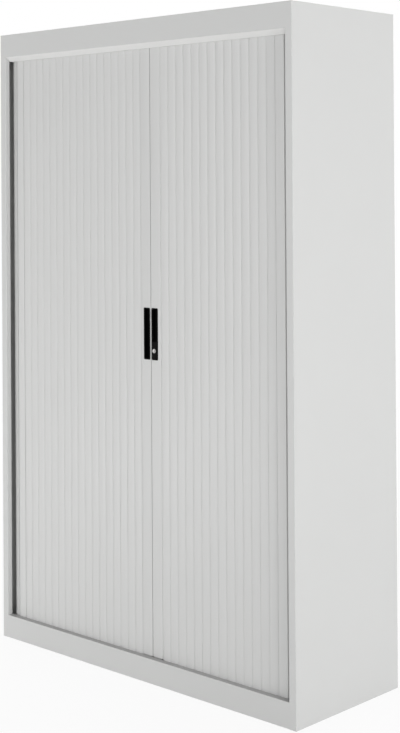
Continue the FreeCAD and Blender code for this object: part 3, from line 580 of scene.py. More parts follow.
def fill_wear(graph: Graph, given: Node, result: Node) -> None:
    """Painted highlight, with some wear, where a surface turns a corner, broken up so that it isn't an
    even line.
    """
    rounded = graph.feed(graph.add("ShaderNodeBevel", samples=WEAR_AND_HIGHLIGHT_SAMPLES), Radius=given.outputs["Reach"])
    normal = graph.add("ShaderNodeNewGeometry").outputs["Normal"]
    facing = graph.vector("DOT_PRODUCT", rounded.outputs[0], normal).outputs["Value"]
    turned = graph.sum("SUBTRACT", 1.0, facing)
    patch = graph.noise(Vector=given.outputs["Place"], Scale=90.0, Detail=2.0)
    broken = graph.sum("MULTIPLY", turned, graph.sum("MULTIPLY", patch, WEAR_AND_HIGHLIGHT_CONTRAST))
    mask = graph.sum("MULTIPLY", broken, given.outputs["Amount"])
    graph.feed(result, Mask=graph.sum("MINIMUM", mask, 1.0))


def fill_dust(graph: Graph, given: Node, result: Node) -> None:
    """Thin dust on what faces upwards."""
    normal = graph.add("ShaderNodeNewGeometry").outputs["Normal"]
    parts = graph.add("ShaderNodeSeparateXYZ")
    graph.give(parts.inputs[0], normal)
    level = graph.sum("POWER", graph.sum("MAXIMUM", parts.outputs["Z"], 0.0), DUST_FALLOFF)
    cloud = graph.noise(Vector=given.outputs["Place"], Scale=14.0, Detail=6.0, Roughness=0.7)
    amount = graph.sum("MULTIPLY", graph.sum("MULTIPLY", level, cloud), given.outputs["Amount"])
    graph.feed(result, Mask=graph.sum("MINIMUM", amount, 1.0))


NUMBER = "NodeSocketFloat"
VECTOR = "NodeSocketVector"
COLOUR = "NodeSocketColor"


class Effect(Enum):
    """The patterns that several finishes share."""

    GRAIN = EffectPlan(
        "fine_grain", {"Place": VECTOR, "Size": NUMBER}, {"Height": NUMBER, "Speck": NUMBER}, fill_grain
    )
    DRIFT = EffectPlan(
        "colour_drift",
        {"Place": VECTOR, "Colour": COLOUR, "Size": NUMBER, "Amount": NUMBER},
        {"Colour": COLOUR},
        fill_drift,
    )
    LINES = EffectPlan(
        "drawn_lines",
        {"Place": VECTOR, "Stretch": VECTOR, "Size": NUMBER},
        {"Height": NUMBER, "Line": NUMBER},
        fill_lines,
    )
    # Painted highlight with some wear: edges mixed towards a lighter or darker colour.
    WEAR = EffectPlan(
        "edge_wear", {"Place": VECTOR, "Reach": NUMBER, "Amount": NUMBER}, {"Mask": NUMBER}, fill_wear
    )
    DUST = EffectPlan("settled_dust", {"Place": VECTOR, "Amount": NUMBER}, {"Mask": NUMBER}, fill_dust)


def effect_group(effect: Effect) -> bpy.types.NodeTree:
    """The node group of a shared pattern, built the first time it is asked for.

    Args:
        effect: The pattern.

    Returns:
        Its node group.
    """
    plan = effect.value
    known = bpy.data.node_groups.get(plan.name)
    if known is not None:
        return known
    tree = bpy.data.node_groups.new(plan.name, "ShaderNodeTree")
    graph = Graph(tree)
    for name, kind in plan.inputs.items():
        tree.interface.new_socket(name, in_out="INPUT", socket_type=kind)
    for name, kind in plan.outputs.items():
        tree.interface.new_socket(name, in_out="OUTPUT", socket_type=kind)
    plan.fill(graph, tree.nodes.new("NodeGroupInput"), tree.nodes.new("NodeGroupOutput"))
    return tree


@dataclass(frozen=True)
class Finish:
    """A surface finish: its colour, its shine, the patterns on it and a painted highlight with some wear
    along its edges. Colours are linear.
    """

    slot: str
    colour: Colour
    roughness: float
    metallic: float = 0.0
    specular: float = 0.5
    grain_size: float = 0.9 * MM
    grain_depth: float = 0.02 * MM
    grain_shine: float = 0.08
    drift: float = 0.03
    drift_size: float = 0.35
    stretch: Place | None = None
    line_size: float = 1.2 * MM
    line_depth: float = 0.02 * MM
    line_tint: float = 0.04
    # Painted highlight with some wear along the edges: its strength, its reach and the colour that the
    # edges are mixed towards.
    wear: float = 0.15
    wear_reach: float = 0.8 * MM
    wear_colour: Colour = (0.80, 0.80, 0.79)
    dust: float = 0.0
    dust_colour: Colour = (0.60, 0.59, 0.57)

    def material(self) -> bpy.types.Material:
        """The finish's material, built the first time it is asked for."""
        known = bpy.data.materials.get(self.slot + "_finish")
        return known if known is not None else self._build()

    def _build(self) -> bpy.types.Material:
        """Build the node tree of the finish."""
        material = bpy.data.materials.new(self.slot + "_finish")
        material.use_nodes = True
        graph = Graph(material.node_tree)
        place = graph.add("ShaderNodeTexCoord").outputs["Object"]
        shader = graph.add("ShaderNodeBsdfPrincipled")
        grain = self._effect(graph, Effect.GRAIN, Place=place, Size=self.grain_size)
        base = (*self.colour, 1)
        drift = self._effect(
            graph, Effect.DRIFT, Place=place, Colour=base, Size=self.drift_size, Amount=self.drift
        )
        colour = drift.outputs["Colour"]
        height = graph.sum("MULTIPLY", grain.outputs["Height"], self.grain_depth)
        if self.stretch is not None:
            lines = self._effect(
                graph, Effect.LINES, Place=place, Stretch=self.stretch, Size=self.line_size
            )
            height = graph.sum("MULTIPLY_ADD", lines.outputs["Height"], self.line_depth, height)
            tone = graph.sum("MULTIPLY_ADD", lines.outputs["Line"], self.line_tint, 1.0)
            colour = graph.scaled(colour, tone)
        # Painted edge highlight with some wear: the edges are mixed towards a lighter or darker colour.
        wear = self._effect(graph, Effect.WEAR, Place=place, Reach=self.wear_reach, Amount=self.wear)
        colour = graph.mix(wear.outputs["Mask"], colour, (*self.wear_colour, 1))
        if self.dust:
            dust = self._effect(graph, Effect.DUST, Place=place, Amount=self.dust)
            colour = graph.mix(dust.outputs["Mask"], colour, (*self.dust_colour, 1))
        roughness = graph.sum("MULTIPLY_ADD", grain.outputs["Speck"], self.grain_shine, self.roughness)
        bump = graph.feed(graph.add("ShaderNodeBump"), Height=height, Distance=1.0, Strength=1.0)
        graph.feed(
            shader,
            Base_Color=colour,
            Roughness=roughness,
            Metallic=self.metallic,
            Specular_IOR_Level=self.specular,
            Normal=bump.outputs["Normal"],
        )
        graph.feed(graph.add("ShaderNodeOutputMaterial"), Surface=shader.outputs[0])
        return material

    @staticmethod
    def _effect(graph: Graph, effect: Effect, **inputs: object) -> Node:
        """Place a shared pattern in the material with its own values."""
        node = graph.add("ShaderNodeGroup", node_tree=effect_group(effect))
        return graph.feed(node, **inputs)


UPRIGHT_LINES = (1.0, 1.0, 0.004)
LEVEL_LINES = (0.004, 1.0, 1.0)


@dataclass(frozen=True)
class Finishes:
    """Every finish on the cabinet."""

    housing: Finish = Finish("housing_paint", (0.630, 0.633, 0.626), 0.46, dust=0.10)
    bar: Finish = Finish("bar_paint", (0.640, 0.642, 0.635), 0.44)
    slat: Finish = Finish(
        "slat_plastic", (0.655, 0.657, 0.650), 0.40,
        grain_depth=0.008 * MM, stretch=UPRIGHT_LINES, line_tint=0.05,
    )
    track_light: Finish = Finish("track_light", (0.79, 0.79, 0.78), 0.38, stretch=LEVEL_LINES)
    track_dark: Finish = Finish(
        "track_dark", (0.33, 0.33, 0.33), 0.42,
        stretch=LEVEL_LINES, wear_colour=(0.3, 0.3, 0.3), dust=0.2,
    )
    # The pull's lighter edge colour paints a slight sheen on its edges, with some wear.
    pull: Finish = Finish(
        "pull_black", (0.002, 0.002, 0.002), 0.5,
        specular=0.04, grain_size=0.5 * MM, wear_colour=(0.01, 0.01, 0.01),
    )
    seal: Finish = Finish(
        "seal_rubber", (0.22, 0.22, 0.22), 0.7, specular=0.3, wear_colour=(0.3, 0.3, 0.3)
    )
    lock_black: Finish = Finish(
        "lock_black", (0.003, 0.003, 0.003), 0.35, specular=0.06, grain_depth=0.003 * MM,
        wear=0.3, wear_colour=(0.03, 0.03, 0.03),
    )
    lock: Finish = Finish(
        "lock_metal", (0.36, 0.355, 0.35), 0.32, metallic=1.0, drift_size=0.01, drift=0.06,
        grain_depth=0.002 * MM, wear=0.3, wear_colour=(0.75, 0.74, 0.72),
    )
    zinc: Finish = Finish(
        "zinc_steel", (0.55, 0.56, 0.57), 0.32, metallic=1.0, drift=0.12, drift_size=0.02,
        grain_size=2.5 * MM, grain_shine=0.25, wear_colour=(0.75, 0.75, 0.75),
    )
    foot: Finish = Finish(
        "foot_plastic", (0.02, 0.02, 0.02), 0.5, wear_colour=(0.08, 0.08, 0.08), dust=0.1
    )

    def by_slot(self) -> dict[str, Finish]:
        """The finishes by the record's slot names."""
        return {finish.slot: finish for finish in vars(self).values()}


@dataclass
class SheetSteel:
    """The pieces whose own shape is right as it is, which only get their finish."""

    finishes: Finishes

    def dress(self) -> None:
        """Give every node the finish of its slot."""
        by_slot = self.finishes.by_slot()
        for part in frame["record"]["subparts"]:
            node = frame["nodes"][part["node"]]
            finish = by_slot[part["material_slot"]]
            for slot in node.material_slots:
                slot.material = finish.material()
            if not node.hide_render:
                LOG.info("%s: %s", node.name, finish.slot)


@dataclass
class Hinge:
    """The bead and socket that hook one slat to the next. Its line runs upright."""

    bead_radius: float = 1.1 * MM
    clearance: float = 0.35 * MM
    wall: float = 1.0 * MM
    open_front: float = 80.0
    open_back: float = 16.0
    steps: int = 14

    @property
    def inner(self) -> float:
        """The socket's inner radius."""
        return self.bead_radius + self.clearance

    @property
    def outer(self) -> float:
        """The socket's outer radius."""
        return self.inner + self.wall

    def socket(self, base: Vector, height: float) -> Shape:
        """An open socket about an upright line, for a piece on the right side."""
        opening = math.radians(self.open_front + self.open_back)
        arc = Arc(math.radians(self.open_back), 2 * math.pi - opening, self.steps)
        return Shape.ring("socket", base, self.inner, self.outer, height, arc)


def first_pivot(side: Side, hinge: Hinge) -> Vector:
    """The foot of the line about which a curtain's first slat turns on its bar.

    Args:
        side: The curtain's side.
        hinge: The hinge between its slats.

    Returns:
        The foot of the line.
    """
    low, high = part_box(f"slats_{side.word}")
    x = low.x + hinge.bead_radius if side is Side.RIGHT else high.x - hinge.bead_radius
    return Vector((x, low.y + SLAT_DEPTH - hinge.outer, low.z))


@dataclass
class Curtain:
    """One half of the roller curtain between its closing bar and the front corner."""

    side: Side
    finish: Finish
    hinge: Hinge
    pitch: float = 30.8 * MM
    gap: float = 0.9 * MM
    skin: float = 1.2 * MM
    crown: float = 0.8 * MM
    crown_columns: int = 7
    edge_round: float = 0.6 * MM
    tongue_depth: float = 0.7 * MM
    tongue_fit: float = 0.08 * MM
    neck: float = 1.0 * MM
    neck_angle: float = 50.0
    web: float = 1.3 * MM
    bead_sides: int = 12
    end_step: float = 0.05 * MM

    def build(self) -> None:
        """Model one slat, copy it along the front run and give the row its own copy of its mesh."""
        node = f"slats_{self.side.word}"
        low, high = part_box(node)
        reach = high.x - low.x
        count = round((reach - self.hinge.outer - self.hinge.bead_radius) / self.pitch)
        base = first_pivot(self.side, self.hinge)
        slat = self._slat(high.z - low.z)
        if self.side is Side.LEFT:
            slat.mirror()
        step = Vector((self.pitch * self.side.value, 0, 0))
        slats = [slat.copy(f"slat_{index}", base + step * index) for index in range(count)]
        bpy.data.objects.remove(slat.obj)
        row = Shape.group(f"curtain_{self.side.word}", slats)
        finished = row.dress(self.finish, self.side.body, (node,))
        self._shorten(finished)

    def _shorten(self, row: Piece) -> None:
        """Give the row its own copy of its mesh."""
        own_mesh(row)

    def _slat(self, height: float) -> Shape:
        """One slat for the right side, with the line of its bead at the origin."""
        crest = self.hinge.outer - SLAT_DEPTH
        edge = crest + self.crown
        left, right = self.gap / 2, self.pitch - self.gap / 2
        slat = Shape.block("slat", (left, edge, 0), (right, edge + self.skin, height))
        slat.split(Axis.X, self.crown_columns)
        spacing = (right - left) / (self.crown_columns + 1)
        for column in range(1, self.crown_columns + 1):
            place = left + spacing * column
            share = 2 * column / (self.crown_columns + 1) - 1
            rise = self.crown * (1 - share * share)
            slat.shift(at(Axis.X, place), Vector((0, -rise, 0)))
        slat.bevel(
            lambda middle, way: abs(way.z) > PARALLEL
            and min(middle.x - left, right - middle.x) < PLACE_TOLERANCE
            and middle.y < edge + PLACE_TOLERANCE,
            self.edge_round,
            SMALL_ROUND_FLATS,
        )
        parts = [
            self._web(right, edge, height),
            self._neck(edge, height),
            self._tongue(right, edge, height),
            self.hinge.socket(Vector((self.pitch, 0, 0)), height),
            Shape.rod("bead", (0, 0, 0), Axis.Z, self.hinge.bead_radius, height, self.bead_sides),
        ]
        for number, part in enumerate(parts, 1):
            part.shorten(height, self.end_step * number)
            slat.weld(part)
        return slat

    def _web(self, right: float, edge: float, height: float) -> Shape:
        """The wall that joins the skin to the socket."""
        return Shape.block(
            "web",
            (right - self.web, edge + self.skin / 2, 0),
            (right, self.hinge.wall / 4 - self.hinge.inner, height),
        )

    def _tongue(self, right: float, edge: float, height: float) -> Shape:
        """The thin lip that closes the groove to the next slat."""
        return Shape.block(
            "tongue",
            (right - self.gap, edge + self.tongue_depth, 0),
            (right + self.gap - self.tongue_fit, edge + self.skin - self.tongue_fit, height),
        )

    def _neck(self, edge: float, height: float) -> Shape:
        """The slanted strip that joins the skin to the bead."""
        reach = (-edge - self.skin / 2) / math.sin(math.radians(self.neck_angle))
        neck = Shape.block("neck", (0, -self.neck / 2, 0), (reach, self.neck / 2, height))
        neck.turn(Vector((0, 0, 0)), Axis.Z, -math.radians(self.neck_angle))
        return neck


@dataclass
class ClosingBar:
    """The hollow bar at the end of a curtain, with closed ends and a pocket for its pull."""

    side: Side
    finish: Finish
    hinge: Hinge
    wall: float = 1.5 * MM
    edge_round: float = 1.0 * MM
    socket_gap: float = 0.75 * MM
    tongue_reach: float = 0.37 * MM
    tongue_depth: float = 1.3 * MM
    tongue_thickness: float = 0.42 * MM
    pull_rim: float = 2.0 * MM
    pull_fit: float = 0.2 * MM

    def build(self) -> None:
        """Model the bar."""
        node = f"closing_bar_{self.side.word}"
        low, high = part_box(node)
        pivot = first_pivot(self.side, self.hinge)
        pivot.z = low.z
        if self.side is Side.RIGHT:
            high.x = pivot.x - self.socket_gap
        else:
            low.x = pivot.x + self.socket_gap
        bar = Shape.block(f"bar_{self.side.word}", low, high)
        bar.bevel(along(Axis.Z), self.edge_round, LARGE_ROUND_FLATS)
        wall = Vector((self.wall, self.wall, self.wall))
        bar.cut(Shape.block("hollow", low + wall, high - wall))
        bar.cut(self._pocket(low))
        if self.side is Side.RIGHT:
            bar.cut(lock_hole(low, high))
        bar.weld(self._socket(pivot, high.z - low.z), self._tongue(pivot, high.z - low.z))
        bar.dress(self.finish, self.side.body, (node,))

    def _pocket(self, low: Vector) -> Shape:
        """What the pull's cup needs out of the bar's front wall."""
        pull_low, pull_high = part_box(f"pull_{self.side.word}")
        inset = self.pull_rim - self.pull_fit
        base = PULL_RECESS_RISE[self.side] - PULL_WALL - self.pull_fit
        return Shape.block(
            "pocket",
            (pull_low.x + inset, low.y - CUT_OVERRUN, pull_low.z + base),
            (pull_high.x - inset, low.y + self.wall + self.pull_fit, pull_high.z - inset),
        )

    def _socket(self, pivot: Vector, height: float) -> Shape:
        """The socket that the first slat hooks into."""
        base = Vector((pivot.x * self.side.value, pivot.y, pivot.z))
        socket = self.hinge.socket(base, height)
        if self.side is Side.LEFT:
            socket.mirror()
        return socket

    def _tongue(self, pivot: Vector, height: float) -> Shape:
        """The thin lip that closes the groove to the first slat."""
        way = self.side.value
        root = pivot.x - way * (self.socket_gap + self.wall / 2)
        ends = sorted((root, pivot.x + way * self.tongue_reach))
        front = pivot.y - SLAT_DEPTH + self.hinge.outer + self.tongue_depth
        return Shape.block(
            "tongue", (ends[0], front, pivot.z), (ends[1], front + self.tongue_thickness, pivot.z + height)
        )


@dataclass
class Pull:
    """A recessed pull: a thin plate with soft edges and a cup for the fingers."""

    side: Side
    finish: Finish
    plate: float = 1.2 * MM
    rim: float = 2.0 * MM
    corner_radius: float = 3.5 * MM
    corner_flats: int = 6
    edge_round: float = 0.5 * MM
    recess_radius: float = 2.0 * MM
    floor_round: float = 3.0 * MM
    mouth_round: float = 0.5 * MM
    ramp: float = 9.0 * MM
    overlap: float = 0.1 * MM
    mostly_along: float = 0.7

    def build(self) -> None:
        """Model the pull."""
        node = f"pull_{self.side.word}"
        low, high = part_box(node)
        pull = Shape.block(f"grip_{self.side.word}", low, Vector((high.x, low.y + self.plate, high.z)))
        pull.bevel(along(Axis.Y), self.corner_radius, self.corner_flats)
        pull.bevel(at(Axis.Y, low.y), self.edge_round, SMALL_ROUND_FLATS)
        pull.weld(self._cup(low, high))
        pull.cut(self._recess(low, high))
        pull.bevel(
            lambda middle, way: self._on_mouth(middle, low, high), self.mouth_round, SMALL_ROUND_FLATS
        )
        if self.side is Side.RIGHT:
            pull.cut(lock_hole(low, high))
        pull.dress(self.finish, self.side.body, (node,))

    def _cup(self, low: Vector, high: Vector) -> Shape:
        """The body behind the plate."""
        base = low.z + PULL_RECESS_RISE[self.side] - PULL_WALL
        inner = low.y + self.plate - self.overlap
        cup = Shape.block(
            "cup", (low.x + self.rim, inner, base), (high.x - self.rim, high.y, high.z - self.rim)
        )
        cup.bevel(at(Axis.Y, high.y), PULL_WALL, SMALL_ROUND_FLATS)
        return cup

    def _recess(self, low: Vector, high: Vector) -> Shape:
        """The space for the fingers, with a slope at its lower end on the right."""
        inset = self.rim + PULL_WALL
        floor = high.y - PULL_WALL
        base = low.z + PULL_RECESS_RISE[self.side]
        recess = Shape.block(
            "recess",
            (low.x + inset, low.y - CUT_OVERRUN, base),
            (high.x - inset, floor, high.z - inset),
        )
        if self.side is Side.RIGHT:
            recess.split(Axis.Y, 1)
            halfway = (low.y - CUT_OVERRUN + floor) / 2
            recess.shift(at(Axis.Y, halfway), Vector((0, low.y + self.plate - halfway, 0)))
            recess.shift(both(at(Axis.Y, floor), at(Axis.Z, base)), Vector((0, 0, self.ramp)))
        recess.bevel(
            lambda middle, way: abs(way.y) > self.mostly_along, self.recess_radius, LARGE_ROUND_FLATS
        )
        recess.bevel(at(Axis.Y, floor), self.floor_round, LARGE_ROUND_FLATS)
        return recess

    def _on_mouth(self, middle: Vector, low: Vector, high: Vector) -> bool:
        """Is the middle of an edge on the rim of the recess, at the front of the plate?"""
        inset = self.rim + PULL_WALL
        base = low.z + PULL_RECESS_RISE[self.side]
        across = low.x + inset - PLACE_TOLERANCE < middle.x < high.x - inset + PLACE_TOLERANCE
        along = base - PLACE_TOLERANCE < middle.z < high.z - inset + PLACE_TOLERANCE
        return middle.y < low.y + PLACE_TOLERANCE and across and along


@dataclass
class Lock:
    """The face of the cam lock: a raised black collar and a bright turning plug with its keyway."""

    finish: Finish
    plug_finish: Finish
    collar_round: float = 0.9 * MM
    barrel_radius: float = 8.0 * MM
    bore_radius: float = 6.05 * MM
    plug_radius: float = 6.0 * MM
    tail_radius: float = 4.0 * MM
    tail_length: float = 3.5 * MM
    plug_round: float = 0.35 * MM
    dish_rim: float = 0.8 * MM
    dish_depth: float = 0.25 * MM
    keyway_width: float = 1.6 * MM
    keyway_height: float = 7.0 * MM
    keyway_depth: float = 5.0 * MM
    collar_thickness: float = 1.5 * MM
    sides: int = 48

    def build(self) -> None:
        """Model the collar with its barrel, and the plug."""
        self._collar()
        self._plug()

    def _collar(self) -> None:
        """The collar on the plate and the barrel through the bar."""
        low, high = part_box("lock_housing")
        front = front_centre("lock_housing")
        radius = (high.x - low.x) / 2
        collar = Shape.rod("lock_collar", front, Axis.Y, radius, self.collar_thickness, self.sides)
        collar.bevel(at(Axis.Y, low.y), self.collar_round, LARGE_ROUND_FLATS)
        start = front + Axis.Y.unit * self.collar_thickness / 2
        length = high.y - start.y
        collar.weld(Shape.rod("barrel", start, Axis.Y, self.barrel_radius, length, self.sides))
        ahead = front - Axis.Y.unit * CUT_OVERRUN
        through = high.y - low.y + CUT_OVERRUN * 2
        collar.cut(Shape.rod("bore", ahead, Axis.Y, self.bore_radius, through, self.sides))
        collar.dress(self.finish, Side.RIGHT.body, ("lock_housing",))

    def _plug(self) -> None:
        """The plug, dished round its keyway, with the tail that holds the hook."""
        low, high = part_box("lock_plug")
        front = front_centre("lock_plug")
        shoulder = high.y - self.tail_length + PLACE_TOLERANCE
        plug = Shape.rod("key_plug", front, Axis.Y, self.plug_radius, shoulder - low.y, self.sides)
        plug.bevel(at(Axis.Y, low.y), self.plug_round, SMALL_ROUND_FLATS)
        plug.inset(lambda middle, normal: normal.y < -PARALLEL, self.dish_rim, -self.dish_depth)
        start = Vector((front.x, shoulder - PLACE_TOLERANCE * 2, front.z))
        plug.weld(Shape.rod("tail", start, Axis.Y, self.tail_radius, high.y - start.y, self.sides))
        half = Vector((self.keyway_width / 2, 0, self.keyway_height / 2))
        deep = Axis.Y.unit * self.keyway_depth
        ahead = Axis.Y.unit * CUT_OVERRUN
        plug.cut(Shape.block("keyway", front - half - ahead, front + half + deep))
        plug.dress(self.plug_finish, "lock_cylinder", ("lock_plug",))


@dataclass
class BackRivets:
    """The domed heads of the blind rivets along the back panel, each with its drawn pin."""

    finish: Finish
    pitch: float = 200 * MM
    radius: float = 3.2 * MM
    height: float = 1.0 * MM
    shank_radius: float = 1.6 * MM
    shank_length: float = 3.0 * MM
    pin_radius: float = 1.0 * MM
    pin_depth: float = 0.4 * MM
    dome_share: float = 0.85
    pin_rim_share: float = 0.4
    sides: int = 20

    def build(self) -> None:
        """Model one rivet and copy it along both rows."""
        low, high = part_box("back_rivets")
        rivet = self._rivet(Vector((low.x + self.radius, high.y - self.height, low.z + self.radius)))
        across = round((high.x - low.x - self.radius * 2) / self.pitch)
        rise = high.z - low.z - self.radius * 2
        steps = [(column, row) for row in range(2) for column in range(across + 1)][1:]
        copies = [rivet.copy("rivet", Vector((self.pitch * x, 0, rise * z))) for x, z in steps]
        heads = Shape.group("rivet_heads", [rivet, *copies])
        heads.dress(self.finish, "housing", ("back_rivets",))

    def _rivet(self, seat: Vector) -> Shape:
        """One rivet on its seat in the panel's outer face."""
        rivet = Shape.rod("rivet", seat, Axis.Y, self.radius, self.height, self.sides)
        rivet.bevel(at(Axis.Y, seat.y + self.height), self.height * self.dome_share, LARGE_ROUND_FLATS)
        pin_rim = self.pin_radius * self.pin_rim_share
        rivet.inset(lambda middle, normal: normal.y > PARALLEL, pin_rim, -self.pin_depth)
        start = seat - Axis.Y.unit * self.shank_length
        length = self.shank_length + self.height / 4
        rivet.weld(Shape.rod("shank", start, Axis.Y, self.shank_radius, length, self.sides))
        return rivet


@dataclass
class FootCaps:
    """The caps in the cabinet floor over the four feet."""

    finish: Finish
    head_radius: float = 9.0 * MM
    stem_radius: float = 6.8 * MM
    head: float = 1.2 * MM
    edge_round: float = 0.6 * MM
    dimple_rim: float = 3.5 * MM
    dimple_depth: float = 0.4 * MM
    sides: int = 32

    def build(self) -> None:
        """Model one cap and copy it to the four corners."""
        low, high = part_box("foot_hole_plugs")
        inset = self.head_radius
        first = self._cap(Vector((low.x + inset, low.y + inset, low.z)), high.z - low.z)
        across, along = high.x - low.x - inset * 2, high.y - low.y - inset * 2
        places = [Vector((across, 0, 0)), Vector((0, along, 0)), Vector((across, along, 0))]
        caps = Shape.group("foot_caps", [first, *[first.copy("cap", place) for place in places]])
        caps.dress(self.finish, "housing", ("foot_hole_plugs",))

    def _cap(self, base: Vector, height: float) -> Shape:
        """One cap with its stem in the floor's hole."""
        seat = base + Axis.Z.unit * (height - self.head)
        cap = Shape.rod("cap", seat, Axis.Z, self.head_radius, self.head, self.sides)
        cap.bevel(at(Axis.Z, seat.z + self.head), self.edge_round, SMALL_ROUND_FLATS)
        cap.inset(lambda middle, normal: normal.z > PARALLEL, self.dimple_rim, -self.dimple_depth)
        cap.weld(Shape.rod("stem", base, Axis.Z, self.stem_radius, height - self.head / 2, self.sides))
        return cap


@dataclass
class CornerWelds:
    """The ground welds that fill the fold's groove between each stile and the two front rails."""

    finish: Finish
    width: float = 3.4 * MM
    overlap: float = 0.4 * MM
    depth: float = 2.4 * MM
    set_back: float = 0.02 * MM
    end_gap: float = 1.2 * MM
    end_round: float = 0.5 * MM

    def build(self) -> None:
        """Model the four welds."""
        welds = [self._weld(side, rail) for side in Side for rail in ("top_rail", "bottom_rail")]
        Shape.group("corner_welds", welds).dress(self.finish, "housing", ())

    def _weld(self, side: Side, rail: str) -> Shape:
        """One weld beside a rail's end, flush with the front."""
        low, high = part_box(rail)
        end = high.x if side is Side.RIGHT else low.x
        ends = sorted((end - side.value * self.overlap, end + side.value * self.width))
        weld = Shape.block(
            f"weld_{side.word}_{rail}",
            (ends[0], low.y + self.set_back, low.z + self.end_gap),
            (ends[1], low.y + self.depth, high.z - self.end_gap),
        )
        front_ends = both(along(Axis.X), at(Axis.Y, low.y + self.set_back))
        weld.bevel(front_ends, self.end_round, SMALL_ROUND_FLATS)
        return weld


@dataclass
class LipEnds:
    """The ends of the upper track's slanted lip, which reach from its straight part to the stiles."""

    finish: Finish
    length: float = 33.1 * MM
    stile: float = 24.0 * MM
    nose_back: float = 3.0 * MM
    depth: float = 14.5 * MM
    nose: float = 1.5 * MM
    drop: float = 14.0 * MM
    clearance: float = 0.1 * MM

    def build(self) -> None:
        """Model both ends."""
        ends = [self._end(side) for side in Side]
        Shape.group("lip_ends", ends).dress(self.finish, "housing", ())

    def _end(self, side: Side) -> Shape:
        """One end, a block whose lower front edge is raised to the nose."""
        low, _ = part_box("top_rail")
        wall_low, wall_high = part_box(f"side_{side.word}")
        wall = wall_high.x if side is Side.RIGHT else wall_low.x
        outer = wall - side.value * (self.stile + self.clearance)
        ends = sorted((outer, outer - side.value * self.length))
        front, base = low.y + self.nose_back, low.z - self.drop
        high = (ends[1], front + self.depth, low.z - self.clearance)
        end = Shape.block(f"lip_end_{side.word}", (ends[0], front, base), high)
        end.shift(both(at(Axis.Y, front), at(Axis.Z, base)), Vector((0, 0, self.drop - self.nose)))
        return end


@dataclass
class SeamSeal:
    """The soft strip between the two closing bars, with a rounded nose."""

    finish: Finish
    nose_round: float = 0.5 * MM

    def build(self) -> None:
        """Model the strip."""
        low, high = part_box("seam_seal")
        strip = Shape.block("seal_strip", low, high)
        strip.bevel(both(along(Axis.Z), at(Axis.X, low.x)), self.nose_round, SMALL_ROUND_FLATS)
        strip.dress(self.finish, Side.RIGHT.body, ("seam_seal",))


@dataclass(frozen=True)
class Lamp:
    """A square soft lamp: its place, what it points at, the length of its side and its watts."""

    name: str
    place: Place
    target: Place
    size: float
    power: float

    def build(self) -> None:
        """Put the lamp in the studio."""
        data = bpy.data.lights.new(self.name, "AREA")
        data.size = self.size
        data.energy = self.power
        lamp = bpy.data.objects.new(self.name, data)
        bpy.context.scene.collection.objects.link(lamp)
        lamp.location = self.place
        way = Vector(self.target) - Vector(self.place)
        lamp.rotation_euler = way.to_track_quat("-Z", "Y").to_euler()


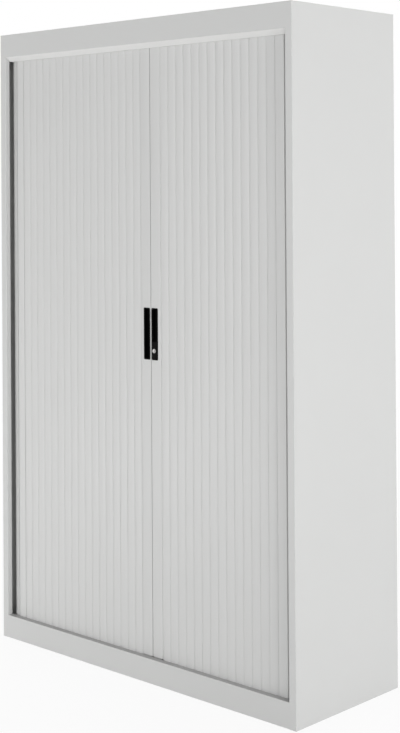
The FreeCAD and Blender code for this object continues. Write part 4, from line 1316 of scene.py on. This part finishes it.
@dataclass
class Studio:
    """The camera, the white ground and the soft lamps of the photograph."""

    camera_place: Place = (3.002276, -3.115226, 1.411300)
    yaw: float = -0.7576295
    pitch: float = 0.0058862
    roll: float = -0.0062645
    focal_px: float = 1442.35
    centre_row_px: float = 180.0
    sensor: float = 36.0
    floor_half: float = 30.0
    floor_colour: float = 0.8
    floor_white_share: float = 0.9
    floor_fade_start: float = 1.5
    floor_fade_end: float = 5.0
    ambient: float = 0.39
    lamps: tuple[Lamp, ...] = (
        Lamp("right_side", (5.6, -1.35, 1.7), (0.3, -0.15, 0.95), 1.2, 110.0),
        Lamp("right_wall", (4.2, 0.7, 0.4), (0.6, 0.0, 0.5), 2.0, 26.0),
        Lamp("front_left", (-1.1, -1.7, 0.2), (-0.5, -0.2, 0.15), 0.6, 3.5),
        Lamp("front_middle", (-1.6, -5.2, 1.5), (0.0, -0.2, 0.95), 2.6, 76.0),
        Lamp("overhead", (0.0, 0.6, 4.6), (0.0, 0.2, 1.9), 2.6, 60.0),
        Lamp("left_wall", (-4.6, 0.9, 1.5), (-0.6, 0.0, 0.95), 3.0, 70.0),
        Lamp("behind", (0.4, 5.2, 1.8), (0.0, 0.2, 0.95), 3.0, 90.0),
    )

    def build(self) -> None:
        """Set up everything that isn't part of the cabinet."""
        self._camera()
        self._world()
        self._floor()
        for lamp in self.lamps:
            lamp.build()
        bpy.context.scene.view_settings.view_transform = "Standard"

    def _camera(self) -> None:
        """The camera where the photograph was taken, with its lens and its lowered frame."""
        data = bpy.data.cameras.new("camera")
        data.sensor_width = self.sensor
        data.lens = self.focal_px * self.sensor / PHOTO_HEIGHT_PX
        data.shift_y = -(PHOTO_HEIGHT_PX / 2 - self.centre_row_px) / PHOTO_HEIGHT_PX
        data.dof.use_dof = False
        camera = bpy.data.objects.new("camera", data)
        bpy.context.scene.collection.objects.link(camera)
        ahead = Vector((
            math.sin(self.yaw) * math.cos(self.pitch),
            math.cos(self.yaw) * math.cos(self.pitch),
            math.sin(self.pitch),
        ))
        level = Vector((math.cos(self.yaw), -math.sin(self.yaw), 0))
        up = level.cross(ahead)
        right = level * math.cos(self.roll) + up * math.sin(self.roll)
        top = up * math.cos(self.roll) - level * math.sin(self.roll)
        turn = Matrix((right, top, -ahead)).transposed().to_4x4()
        camera.matrix_world = Matrix.Translation(self.camera_place) @ turn
        bpy.context.scene.camera = camera

    def _seen(self, graph: Graph) -> Socket:
        """1 for rays that show the white ground: seen, mirrored or through glass."""
        path = graph.add("ShaderNodeLightPath")
        shown = graph.sum("MAXIMUM", path.outputs["Is Camera Ray"], path.outputs["Is Glossy Ray"])
        return graph.sum("MAXIMUM", shown, path.outputs["Is Transmission Ray"])

    def _world(self) -> None:
        """White where it is seen, and a soft level light elsewhere."""
        world = bpy.data.worlds.new("studio")
        world.use_nodes = True
        bpy.context.scene.world = world
        graph = Graph(world.node_tree)
        strength = graph.sum("MULTIPLY_ADD", self._seen(graph), 1.0 - self.ambient, self.ambient)
        ground = graph.feed(graph.add("ShaderNodeBackground"), Color=(1, 1, 1, 1), Strength=strength)
        graph.feed(graph.add("ShaderNodeOutputWorld"), Surface=ground.outputs[0])

    def _white_share(self, graph: Graph) -> Socket:
        """How white the floor shows: less near the cabinet, for the shadow, and fully far away."""
        place = graph.add("ShaderNodeTexCoord").outputs["Object"]
        distance = graph.vector("LENGTH", place).outputs["Value"]
        reach = self.floor_fade_end - self.floor_fade_start
        away = graph.sum("DIVIDE", graph.sum("SUBTRACT", distance, self.floor_fade_start), reach)
        level = graph.sum("MINIMUM", graph.sum("MAXIMUM", away, 0.0), 1.0)
        return graph.sum("MULTIPLY_ADD", level, 1.0 - self.floor_white_share, self.floor_white_share)

    def _floor(self) -> None:
        """A plain pale floor that shows nearly white and keeps the shadow."""
        deselect_all()
        bpy.ops.mesh.primitive_plane_add(size=self.floor_half * 2)
        floor = bpy.context.object
        floor.name = "floor"
        material = bpy.data.materials.new("floor_pale")
        material.use_nodes = True
        graph = Graph(material.node_tree)
        matt = graph.feed(graph.add("ShaderNodeBsdfDiffuse"), Color=(*[self.floor_colour] * 3, 1))
        white = graph.feed(graph.add("ShaderNodeEmission"), Color=(1, 1, 1, 1), Strength=1.0)
        share = graph.sum("MULTIPLY", self._seen(graph), self._white_share(graph))
        blend = graph.add("ShaderNodeMixShader")
        for socket, given in zip(blend.inputs, (share, matt.outputs[0], white.outputs[0])):
            graph.give(socket, given)
        graph.feed(graph.add("ShaderNodeOutputMaterial"), Surface=blend.outputs[0])
        floor.data.materials.append(material)


def main() -> None:
    """Build the studio and the pieces in order, and report each piece."""
    logging.basicConfig(level=logging.INFO, format="%(name)s: %(message)s")
    finishes = Finishes()
    hinge = Hinge()
    Studio().build()
    for side in Side:
        Curtain(side, finishes.slat, hinge).build()
        ClosingBar(side, finishes.bar, hinge).build()
        Pull(side, finishes.pull).build()
    Lock(finishes.lock_black, finishes.lock).build()
    SeamSeal(finishes.seal).build()
    CornerWelds(finishes.housing).build()
    LipEnds(finishes.track_light).build()
    BackRivets(finishes.zinc).build()
    FootCaps(finishes.track_light).build()
    SheetSteel(finishes).dress()


if __name__ == "__main__":
    main()
